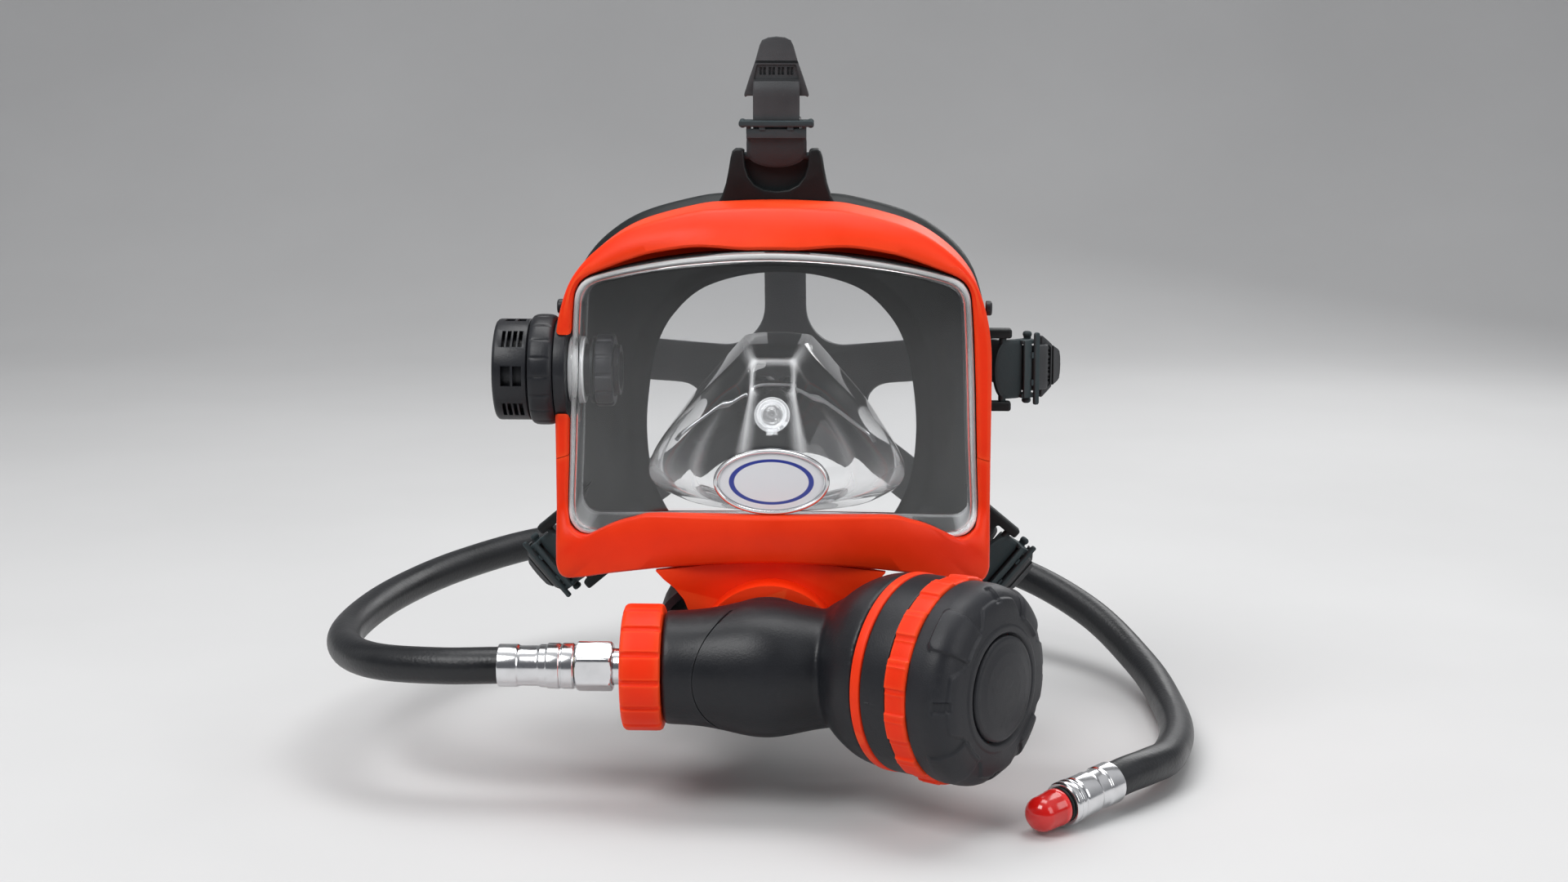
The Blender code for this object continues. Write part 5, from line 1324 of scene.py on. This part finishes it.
def harness_sheet(rows, steps, circles):
    """Middle surface: a hub with five arms and large rounded webs between them."""
    arms = sorted((Arm(b) for b in BUCKLES), key=lambda arm: arm.angle)
    n, half_w = len(arms), STRAP_HALF_W
    offset = {"l": half_w, "m": 0, "r": -half_w}
    gaps, fillets, reach = [], [], []
    for i, arm in enumerate(arms):
        gap = arms[(i + 1) % n].angle + (360 if i == n - 1 else 0) - arm.angle
        radius = 50.0 if arm.angle < -100 else (16.0 if gap < 70 else 20.0)
        gaps.append(gap)
        fillets.append(radius)
        reach.append((half_w + radius) / math.tan(math.radians(gap / 2)))
    start = [max(reach[i], reach[i - 1]) for i in range(n)]

    def web(i, rho, phi):
        """Point at planar distance rho and direction phi between arms i and i + 1."""
        k = smooth((phi - arms[i].angle - 12) / (gaps[i] - 24))
        p = HUB + Vector((math.cos(math.radians(phi)), 0, math.sin(math.radians(phi)))) * rho
        for arm, f in ((arms[i], 1 - k), (arms[(i + 1) % n], k)):
            p = p + (arm.at(rho)[0] - HUB - arm.out * rho) * f
        return p

    sheet = bmesh.new()
    border = hub_border(arms, gaps, start, fillets, reach, steps)
    loops = []
    for k in range(1, circles + 1):
        loop = []
        for i, rho, phi, tag in border:
            if tag and k == circles:
                side, arm = tag
                p, w = arms[arm].at(start[arm])
                loop.append(sheet.verts.new(p + w * offset[side]))
            else:
                loop.append(sheet.verts.new(web(i, rho * (k / circles), phi)))
        loops.append(loop)
    m = len(border)
    centre = sheet.verts.new(HUB)
    for k in range(m):
        sheet.faces.new((centre, loops[0][k], loops[0][(k + 1) % m]))
        for a, b in zip(loops[:-1], loops[1:]):
            sheet.faces.new((a[k], b[k], b[(k + 1) % m], a[(k + 1) % m]))
    tags = {entry[3]: loops[-1][k] for k, entry in enumerate(border) if entry[3]}
    for i, arm in enumerate(arms):
        previous = [tags[(side, i)] for side in "rml"]
        for k in range(1, rows + 1):
            p, w = arm.at(start[i] + (arm.length - start[i]) * k / rows)
            row = [sheet.verts.new(p - w * half_w), sheet.verts.new(p),
                   sheet.verts.new(p + w * half_w)]
            for e in (0, 1):
                sheet.faces.new((previous[e], row[e], row[e + 1], previous[e + 1]))
            previous = row
    sheet.normal_update()
    return sheet


def thickened(sheet):
    """Gives the sheet the strap's thickness and creases its rims."""
    bm = bmesh.new()
    crease = bm.edges.layers.float.new("crease_edge")
    top = {v: bm.verts.new(v.co + v.normal * STRAP_T / 2) for v in sheet.verts}
    bottom = {v: bm.verts.new(v.co - v.normal * STRAP_T / 2) for v in sheet.verts}
    for f in sheet.faces:
        bm.faces.new([top[v] for v in f.verts])
        bm.faces.new([bottom[v] for v in reversed(f.verts)])
    for e in sheet.edges:
        if len(e.link_faces) == 1:
            loop = e.link_loops[0]
            a, b = loop.vert, loop.link_loop_next.vert
            bm.faces.new([top[b], top[a], bottom[a], bottom[b]])
            for side in (top, bottom):
                bm.edges.get((side[a], side[b]))[crease] = 0.6
    sheet.free()
    return bm


def make_harness():
    harness = mesh_object(thickened(harness_sheet(rows=12, steps=12, circles=5)), sharp=60)
    subdivide(harness, 2, sharp=50)
    piece("head_harness", "strap", harness)


# ---------------------------------------------------------------- face skirt
def skirt_ring(angles, k, y, grow, dome):
    """Blend of the frame outline (k = 0) and the face edge (k = 1); dome lifts the top."""
    out = []
    for angle in angles:
        a = FRAME_OUT.radius(angle) - 1.2
        b = OPENING.radius(angle) + 14.0
        r = a * (1 - k) + b * k + grow
        p = Vector((r * math.cos(angle), y, r * math.sin(angle)))
        if dome and p.z > 0:
            p.z += dome * smooth(p.z / 60)
        out.append(p)
    return out


def skirt_body(steps):
    angles = full_turn(FRAME_OUT, steps)
    wall = 3.2
    # blend, y, grow, dome
    outside = [(0, 30.5, 0, 0), (0, 38, 1.0, 3.2), (0.16, 48, 0.6, 4.0), (0.55, 64, 0, 2.0),
               (0.9, 80, 0, 0), (1.0, 88, -2, 0)]
    inside = [(0.88, 76, 0, 0), (0.55, 61, 0, 2.0), (0.16, 46, 0.6, 3.6)]
    # y, distance outside the face opening
    face_edge = [(92, 6.5), (91, 2.0), (87, 0.0), (86.4, 3.0), (83.5, 8.5)]
    rings = [skirt_ring(angles, *row) for row in outside]
    rings += [[OPENING.at(t, y, grow) for t in angles] for y, grow in face_edge]
    rings += [skirt_ring(angles, k, y, grow - wall, dome) for k, y, grow, dome in inside]
    rings.append(skirt_ring(angles, 0, 36, -3.0, 1.5))
    # in-between rings along a smooth curve through the given ones
    columns = [spline(list(column), 4) for column in zip(*rings)]
    front = [VISOR_OUT.at(t, 30.5, -1.5) for t in angles]
    return loft([list(row) for row in zip(*columns)] + [front], loop=True)


def tower():
    """Top tower: two horns round a recess for the buckle plate."""
    # x, z from the outer foot over the horn to the middle of the recess
    half = [(28.5, 74.5), (26.5, 78), (24.0, 82.5), (22.2, 88), (21.0, 94), (20.2, 99),
            (19.4, 102.0), (18.2, 103.0), (15.0, 103.0), (14.4, 102.2), (14.2, 99.5),
            (13.8, 95.5), (12.4, 91.0), (9.6, 87.4), (5.4, 85.2), (0, 84.6)]
    ob = mesh_object(prism(flip(half) + half[-2::-1], (0, 31.2, 0), BACK, UP, 9.5))
    bevel(ob, 1.3, segments=4, sharp=50)
    web = [(-15.5, 82), (-15.5, 97), (-12.5, 99)]
    add(ob, prism(web + flip(web[::-1]), (0, 38.9, 0), BACK, UP, 1.7), sharp=50)
    return ob


def lug(b):
    """Moulded tab that reaches out of the skirt and forks around the buckle plate."""
    ear, web = (30.0, 15.5) if b.name.startswith("jaw") else (12.5, 10.5)
    r = (b.root - b.hinge * b.root.dot(b.hinge)).normalized()
    s = b.hinge.cross(r).normalized()
    half = [(14.3, 6.0), (14.3, -4.0), (18.6, -4.0), (18.6, ear), (12.0, web)]
    outline = half + flip(half[::-1])
    ob = mesh_object(loft([[b.pin + b.hinge * x + r * v + s * e for x, v in outline]
                           for e in (-3.4, 3.4)]))
    bevel(ob, 1.2, segments=4, sharp=50)
    return ob


def make_skirt():
    skirt = mesh_object(skirt_body(168), sharp=40)
    cut(skirt, loft([duct_ring(y, 0.4) for y in (20, 40, 66, 71)]), solver="MANIFOLD", sharp=40)
    combine(skirt, tower(), sharp=40)
    for b in BUCKLES:
        if b.name != "top":
            combine(skirt, lug(b), sharp=40)
        cut(skirt, cylinder(-17.7, 17.7, 2.1, b.at(0, 0), b.hinge, 32), sharp=40)
    piece("face_skirt", "rubber", skirt)


# ---------------------------------------------------------------- regulator body
def make_regulator_body():
    """Tube, outlet and drum bell melted into one casting, then bored."""
    body = mesh_object(solid([(-42.6, 22.8), (-42.2, 23.4)] + tube_profile(-41, 31), REG, LEFT, 120))
    outlet = [(-80, 3), (-75, 12), (-70, 19.5), (-65, 25.5), (-60, 28.6), (-56, 29.2), (-53, 29),
              (-48, 24.6), (-27.4, 24.6)]
    add(body, solid(outlet, OUTLET, BACK, 120))
    bell = spline([(s, r, 0) for s, r in [
        (-6, 18), (-2, 23.5), (6, 28.5), (14, 34.5), (22, 38.6), (28, 40.2), (32.7, 40.6)]], 4)
    add(body, solid([(p.x, p.y) for p in bell], DRUM_START, DRUM_AXIS, 120))
    remesh = body.modifiers.new("r", "REMESH")
    remesh.mode, remesh.voxel_size, remesh.use_smooth_shade = "VOXEL", 0.00085, True
    melt = body.modifiers.new("s", "SMOOTH")
    melt.iterations, melt.factor = 14, 0.5
    bake(body, 60)
    # flat faces at the three open ends, then the three bores
    for profile, origin, axis, steps in (
            ([(32.7, 60), (60, 60)], DRUM_START, DRUM_AXIS, 64),
            ([(-60, 40), (-42.5, 40)], REG, LEFT, 48),
            ([(-27.4, 50), (-10, 50)], OUTLET, BACK, 48),
            ([(-50, 20.4), (34, 20.4)], REG, LEFT, 96),
            ([(-60, 20.5), (-20, 20.5)], OUTLET, BACK, 96),
            ([(2, 20), (8, 26), (16, 32), (24, 36), (40, 37.4)], DRUM_START, DRUM_AXIS, 96)):
        cut(body, solid(profile, origin, axis, steps), solver="MANIFOLD", sharp=60)
    # round parting line on the front of the tube
    line = mesh_object(turned([(-92, 29.6), (-92, 30.05), (-66, 30.05), (-66, 29.6)],
                              OUTLET, BACK, 160))
    cut(line, solid(tube_profile(-60, 61, -0.5), REG, LEFT, 96))
    cut(line, cylinder(-10, 80, 60, DRUM_START, DRUM_AXIS, 48))
    combine(body, line, "DIFFERENCE", "MANIFOLD", sharp=40)
    piece("regulator_body", "black", body)


def make_cap_nut():
    profile = [(-60, 8.4), (-60, 21.5), (-59.7, 23.6), (-59.2, 24.6), (-58.4, 25.2),
               (-57.4, 25.4), (-54, 25.4), (-50, 25.4), (-46, 25.4), (-44.4, 25.3),
               (-43.5, 25.0), (-43.05, 24.5), (-43, 8.4)]

    def grip(s, r, angle):
        if r < 20:
            return 0.0
        ends = smooth((s + 60.3) / 1.2) * smooth((-42.7 - s) / 1.2)
        return 1.0 * pad_wave(angle, 14, 0.74, 0.14) * (0.35 + 0.65 * ends)
    piece("inlet_cap_nut", "orange",
          mesh_object(shaped_ring(profile, REG, LEFT, 336, grip), sharp=30))
    washer = [(-60.5, 9.2), (-60.5, 15.6), (-60.06, 16.4), (-60.06, 9.2)]
    extra("cap_nut_washer", "steel", mesh_object(soft_ring(washer, REG, LEFT, 64, 0.2)))


def make_tube_inside():
    ring_piece("air_barrel", "chrome", [
        (-66, 5.2), (-66, 7.6), (-42.3, 7.6), (-42.3, 19.6), (-39, 19.6), (-39, 8.2), (26, 8.2),
        (26, 2.0), (24.5, 2.0), (24.5, 5.2)], REG, LEFT, steps=72, soft=0.35)
    solid_piece("poppet", "brass", [
        (-28, 3.2), (-26.5, 4.8), (-6, 4.8), (-6, 1.4), (36.4, 1.4), (36.4, 3.6), (38.2, 3.6)],
        REG, LEFT, steps=48, soft=0.25)


# ---------------------------------------------------------------- regulator drum
def make_clamp_ring():
    ring_piece("clamp_ring", "orange", [
        (33, 37.7), (33, 40.4), (33.5, 41.3), (37.2, 41.3), (37.7, 40.4), (37.7, 37.7)],
        DRUM_START, DRUM_AXIS, steps=160, soft=0.5)


def make_housing_ring():
    band_r = 41.0
    band = mesh_object(soft_ring([
        (38, 37.4), (38, 40.7), (38.5, band_r), (49.2, band_r), (49.7, 40.7), (49.7, 37.4)],
        DRUM_START, DRUM_AXIS, 160, 0.4))
    # small raised marks on the band
    a, u, w = axis_frame(DRUM_AXIS)
    for degrees in (184, 64, 304):
        angle = math.radians(degrees)
        outward = around(u, w, angle)
        mark = block((0, 0, 0), (2.4, 0.7, 0.5), 0.2)
        place = Vector(DRUM_START) + a * 41.4 + outward * band_r
        turn = Matrix((a, -u * math.sin(angle) + w * math.cos(angle), outward)).transposed()
        for v in mark.verts:
            v.co = place + turn @ v.co
        add(band, mark)
    piece("housing_ring", "black", band)


def make_lock_ring():
    profile = [(50, 38.0), (50, 40.9), (50.25, 41.5), (50.8, 41.85), (51.6, 41.9), (55, 41.9),
               (58.2, 41.9), (58.95, 41.8), (59.45, 41.45), (59.7, 40.9), (59.7, 38.0)]

    def facets(s, r, angle):
        """Alternating shallow facets with a crisp step at each side."""
        if r < 40:
            return 0.0
        return 0.95 * pad_wave(angle, 12, 0.52, 0.06) - \
            0.25 * pad_wave(angle, 24, 0.90, 0.06, 0.25)
    piece("lock_ring", "orange",
          mesh_object(shaped_ring(profile, DRUM_START, DRUM_AXIS, 384, facets), sharp=24))


def purge_relief(s, r, angle):
    """Height of the purge cover's pads, panels, notches and collar above its profile."""
    pad_arc = abs((angle % (math.pi / 2)) - math.pi / 4) * 37
    panel_arc = abs(((angle - math.pi / 4) % (math.pi / 2)) - math.pi / 4) * 34
    # four pads on the shoulder
    du = max(0.0, pad_arc - 6.4)
    dv = 68.4 - s if s < 68.4 else max(0.0, 31.5 - r)
    height = 1.25 * (1 - smooth((math.hypot(du, dv) - 1.4) / 1.3))
    # raised panel ring with straight sides
    if s > 70:
        ring = 1 - smooth((r - 35.8) / 1.0)
        side = 1 - smooth((panel_arc * (r / 34.0) - 11.5 - (35.8 - r) * 0.55) / 0.9)
        height += 0.75 * ring * max(side, 1 - smooth((r - 30.2) / 1.0))
    # notch at the rim in the middle of each panel
    height -= (1 - smooth((panel_arc - 1.6) / 0.7)) * smooth((r - 34.6) / 0.9) * \
        smooth((s - 71) / 1.2)
    # inner collar
    return height + 0.45 * (1 - smooth((r - 25.4) / 0.8)) * smooth((r - 22.8) / 0.8)


def make_purge_cover():
    """Moulded rubber cover; its relief stands square to the profile."""
    outer = spline([(s, r, 0) for s, r in [
        (60, 41.0), (60.6, 41.25), (64, 41.35), (68, 41.3), (71.4, 40.6), (74.2, 38.9),
        (76.2, 36.4), (77.4, 33.4), (78.1, 29.6), (78.6, 26.0), (78.7, 23.6), (78.2, 22.5)]], 7)
    inner = [(76, 22.3), (75.6, 31), (72, 36.6), (66, 38.4), (60, 38.4)]
    a, u, w = axis_frame(DRUM_AXIS)
    o = Vector(DRUM_START)
    angles = circle(288)
    rings = []
    for i, p in enumerate(outer):
        t = (outer[min(i + 1, len(outer) - 1)] - outer[max(i - 1, 0)]).normalized()
        normal_s, normal_r = -t.y, t.x
        if normal_r < 0 and normal_s < 0:
            normal_s, normal_r = -normal_s, -normal_r
        if normal_s < 0 and i > 8:
            normal_s, normal_r = -normal_s, -normal_r
        ring = []
        for angle in angles:
            h = purge_relief(p.x, p.y, angle)
            ring.append(o + a * (p.x + normal_s * h) + around(u, w, angle) * (p.y + normal_r * h))
        rings.append(ring)
    rings += [[o + a * s + around(u, w, angle) * r for angle in angles] for s, r in inner]
    piece("purge_cover", "purge", mesh_object(loft(rings, loop=True), sharp=40))


def make_drum_inside():
    """Purge button, diaphragm and its plate."""
    solid_piece("purge_button", "purge", [
        (64, 4.6), (75.4, 4.6), (76.2, 21.8), (79.4, 21.8), (80.3, 21.4), (80.7, 20.4),
        (80.9, 18.6), (81.6, 15), (82.1, 10), (82.3, 5), (82.35, 1.0)],
        DRUM_START, DRUM_AXIS, steps=96, soft=0.3)
    piece("diaphragm", "silicone", mesh_object(solid([
        (44.2, 26), (45.0, 30), (44.4, 36.4), (45.6, 36.4), (46.2, 30), (45.4, 26)],
        DRUM_START, DRUM_AXIS, 96)))
    solid_piece("diaphragm_plate", "steel", [(42.6, 17.5), (43.2, 19), (43.8, 19)],
                DRUM_START, DRUM_AXIS, steps=96, soft=0.15)


def make_regulator():
    make_regulator_body()
    make_cap_nut()
    make_tube_inside()
    make_clamp_ring()
    make_housing_ring()
    make_lock_ring()
    make_purge_cover()
    make_drum_inside()


# ---------------------------------------------------------------- supply hose
# centre line from the regulator round the back to the free end
HOSE_PATH = [
    (-92.5, -60, -107), (-112, -60, -107), (-138, -58, -108), (-168, -44, -110),
    (-187, -14, -112), (-193, 28, -113), (-184, 80, -111), (-160, 132, -108),
    (-122, 180, -106), (-68, 212, -107), (0, 224, -111), (62, 221, -117), (114, 203, -124),
    (152, 166, -137), (175, 118, -152), (182, 70, -158), (180.5, 20, -157),
    (171.5, -24, -154.2), (161, -44, -152.6), (150.5, -56.5, -152.4), (143, -64, -153.4),
    (134.55, -72.45, -154.53)]
HOSE_END = Vector((143, -64, -153.4))          # start of the fittings at the free end
HOSE_END_AXIS = Vector((-0.704, -0.704, -0.094)).normalized()


def make_swivel_nut():
    """Hexagon nut with the curved chamfers a turned cone leaves on its corners."""
    flat_r = 19.0 / 2
    corner_r = flat_r / math.cos(math.pi / 6)
    start, end = -79.8, -64.3
    # distance from the nut's end, radius beyond the flats
    chamfer = [(0.0, -0.35), (0.12, -0.05), (0.45, 0.45), (0.8, 0.95), (1.2, 1.5)]
    profile = [(start + d, flat_r + g) for d, g in chamfer]
    profile += [(end - d, flat_r + g) for d, g in reversed(chamfer)]
    profile += [(end, 7.95), (-73, 7.95), (-73, 5.3), (start, 5.3)]

    def hexagon(s, r, angle):
        if r < 9:                              # the bore stays round
            return 0.0
        m = (angle + math.pi / 6) % (math.pi / 3) - math.pi / 6
        side = flat_r / math.cos(m)
        side -= 0.25 * smooth((side - (corner_r - 0.28)) / 0.28)
        return min(r, side) - r
    piece("swivel_nut", "chrome",
          mesh_object(shaped_ring(profile, REG, LEFT, 96, hexagon), sharp=25))


def make_hose_inlet():
    ring_piece("hose_stem", "brass", [
        (-91.5, 3.0), (-91.5, 4.9), (-72.5, 4.9), (-72.5, 7.3), (-69.3, 7.3), (-69.3, 4.6),
        (-66.6, 4.6), (-66.6, 3.0)], REG, LEFT, steps=48, soft=0.2)
    ring_piece("hose_ferrule_inlet", "chrome", [
        (-112.5, 8.0), (-112.5, 8.7), (-112.1, 9.0), (-104.4, 9.0), (-103.6, 8.5),
        (-102.8, 8.42), (-96.4, 8.42), (-95.6, 8.5), (-94.8, 9.0), (-92.2, 9.0), (-91.6, 9.55),
        (-86.8, 9.6), (-86.4, 9.2), (-85.8, 9.2), (-85.4, 9.6), (-81, 9.6), (-80.2, 9.0),
        (-80.2, 5.2), (-92, 5.2), (-92, 8.0)], REG, LEFT, steps=96, soft=0.25)


def make_hose_outlet():
    ring_piece("hose_ferrule_outlet", "chrome", [
        (0, 8.0), (0, 8.6), (0.4, 8.95), (7.6, 8.95), (8.4, 8.5), (9.2, 8.42), (13.2, 8.42),
        (14.0, 8.5), (14.8, 8.95), (22.6, 8.95), (23.5, 8.6), (24, 8.1), (24, 5.2), (13.6, 5.2),
        (13.6, 8.0)], HOSE_END, HOSE_END_AXIS, steps=96, soft=0.25)
    ring_piece("hose_end_fitting", "chrome", [
        (14.2, 2.8), (14.2, 4.9), (24.4, 4.9), (24.4, 8.7), (25.2, 9.3), (26.6, 9.3),
        (27.0, 8.9), (27.8, 8.9), (28.2, 9.3), (29.8, 9.3), (30.6, 8.7), (30.6, 5.6), (41, 5.6),
        (42, 4.8), (42, 2.8)], HOSE_END, HOSE_END_AXIS, steps=96, soft=0.2)
    section = [(31.6 + 0.7 * math.cos(a), 6.9 + 0.85 * math.sin(a)) for a in circle(16)]
    piece("end_o_ring", "rubber", mesh_object(turned(section, HOSE_END, HOSE_END_AXIS, 72)))


def make_dust_cap():
    """Domed cap over the free end."""
    tip = 49.4
    quarter = [math.pi / 2 * k / 12 for k in range(1, 13)]
    dome = [(tip - 6.4 * (1 - math.cos(a)), 7.4 * math.sin(a)) for a in quarter]
    outer = [(tip, 0.0)] + dome + [(36.2, 7.5), (35.8, 7.75), (33.2, 7.75), (32.8, 7.45)]
    inner = [(32.8, 6.1), (33.2, 5.9), (43.4, 5.9), (43.6, 0.0)]
    piece("dust_cap", "red",
          mesh_object(turned(outer + inner, HOSE_END, HOSE_END_AXIS, 72), sharp=45))


def make_hose():
    make_swivel_nut()
    make_hose_inlet()
    path = resample(spline(HOSE_PATH, 10), 300)
    piece("supply_hose", "hose", mesh_object(pipe(path, HOSE_R, 40), sharp=60))
    make_hose_outlet()
    make_dust_cap()


# ---------------------------------------------------------------- studio (m)
def make_floor():
    """Floor that sweeps up behind the object."""
    m, tree, bsdf, _ = shader("floor_look")
    cloud = noise(tree, coords(tree), scale=3.0, detail=4.0)
    grey = ramp(tree, cloud, [(0.3, 0.60), (0.7, 0.64)])
    tree.links.new(grey, bsdf.inputs["Base Color"])
    bsdf.inputs["Roughness"].default_value = 0.9
    bsdf.inputs["Specular IOR Level"].default_value = 0.15
    bm = bmesh.new()
    sweep = [math.pi / 2 * k / 16 for k in range(1, 17)]
    profile = [(-3.2, 0.0), (1.2, 0.0)]
    profile += [(1.2 + 1.0 * math.sin(a), 1.0 - math.cos(a)) for a in sweep] + [(2.2, 4.0)]
    drop = 0.0006                              # keeps the floor just below the object
    rows = [[bm.verts.new((x, y, z - drop)) for y, z in profile] for x in (-4.0, 4.0)]
    for i in range(len(profile) - 1):
        bm.faces.new((rows[0][i], rows[1][i], rows[1][i + 1], rows[0][i + 1]))
    me = bpy.data.meshes.new("floor")
    bm.to_mesh(me)
    bm.free()
    me.shade_smooth()
    floor = bpy.data.objects.new("floor", me)
    floor.data.materials.append(m)
    bpy.context.scene.collection.objects.link(floor)


def make_world():
    """Soft surroundings: dim behind the camera, bright overhead and behind the object."""
    w = bpy.data.worlds.new("world")
    w.use_nodes = True
    tree = w.node_tree
    background = tree.nodes["Background"]
    place = node(tree, "ShaderNodeTexCoord").outputs["Generated"]
    split = node(tree, "ShaderNodeSeparateXYZ", {0: place})
    behind = calc(tree, "MULTIPLY", split.outputs[1], 0.9)
    above = calc(tree, "MULTIPLY", split.outputs[2], 0.8)
    level = calc(tree, "ADD", calc(tree, "ADD", behind, above), 0.35)
    sky = ramp(tree, level, [(0.0, (0.16, 0.165, 0.18)), (0.35, (0.30, 0.305, 0.32)),
                             (1.0, (0.82, 0.825, 0.84))])
    tree.links.new(sky, background.inputs[0])
    background.inputs["Strength"].default_value = 0.72
    bpy.context.scene.world = w


def area_light(name, location, size, power):
    """Rectangular light aimed at the middle of the mask."""
    target = Vector((0, 0, 0.14))
    light = bpy.data.lights.new(name, "AREA")
    light.shape, light.size, light.size_y, light.energy = "RECTANGLE", size[0], size[1], power
    ob = bpy.data.objects.new(name, light)
    ob.location = location
    ob.rotation_euler = (target - Vector(location)).to_track_quat("-Z", "Y").to_euler()
    bpy.context.scene.collection.objects.link(ob)


def make_camera():
    """Camera a little above the mask's middle, almost square on."""
    camera = bpy.data.cameras.new("camera")
    camera.lens, camera.sensor_width = 56.25, 36.0
    camera.clip_start, camera.clip_end = 0.01, 30
    ob = bpy.data.objects.new("camera", camera)
    rise, turn, distance = math.radians(10.0), math.radians(2.2), 1.065
    away = Vector((math.sin(turn) * math.cos(rise), -math.cos(turn) * math.cos(rise),
                   math.sin(rise)))
    ob.location = world((4.6, 0.0, -21.5)) + away * distance
    ob.rotation_euler = (-away).to_track_quat("-Z", "Y").to_euler()
    bpy.context.scene.collection.objects.link(ob)
    bpy.context.scene.camera = ob


def make_studio():
    make_floor()
    make_world()
    area_light("key", location=(-0.75, -0.95, 1.35), size=(0.9, 0.7), power=15.0)
    area_light("fill", location=(1.15, -0.85, 0.75), size=(0.8, 0.9), power=5.8)
    area_light("top", location=(0.05, 0.15, 1.30), size=(1.1, 0.7), power=9.5)
    area_light("rim", location=(0.55, 1.05, 0.75), size=(0.7, 0.6), power=4.0)
    make_camera()
    view = bpy.context.scene.view_settings
    view.view_transform = "Standard"
    view.look = "None"


# ---------------------------------------------------------------- build everything
make_frame_halves()
make_frame_screws()
make_visor_bead()
make_chin_plate()
make_chin_port()
make_visor()
make_badge()
make_valve()
make_hood()
make_check_valve()
make_nose_block()
make_skirt()
make_regulator()
make_hose()
for strap_buckle in BUCKLES:
    make_buckle(strap_buckle)
    make_strap_end(strap_buckle)
make_harness()

# CAD nodes that nothing stands for keep their own mesh; all but these are black
STEEL_NODES = ("poppet_spring", "purge_spring", "demand_lever", "lever_pin")
replaced = {n for o in bpy.context.scene.objects for n in list(o.get("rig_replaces", []))}
for cad_node in frame["nodes"]:
    if cad_node not in replaced:
        paint(cad_node, "steel" if cad_node in STEEL_NODES else "black")

make_studio()
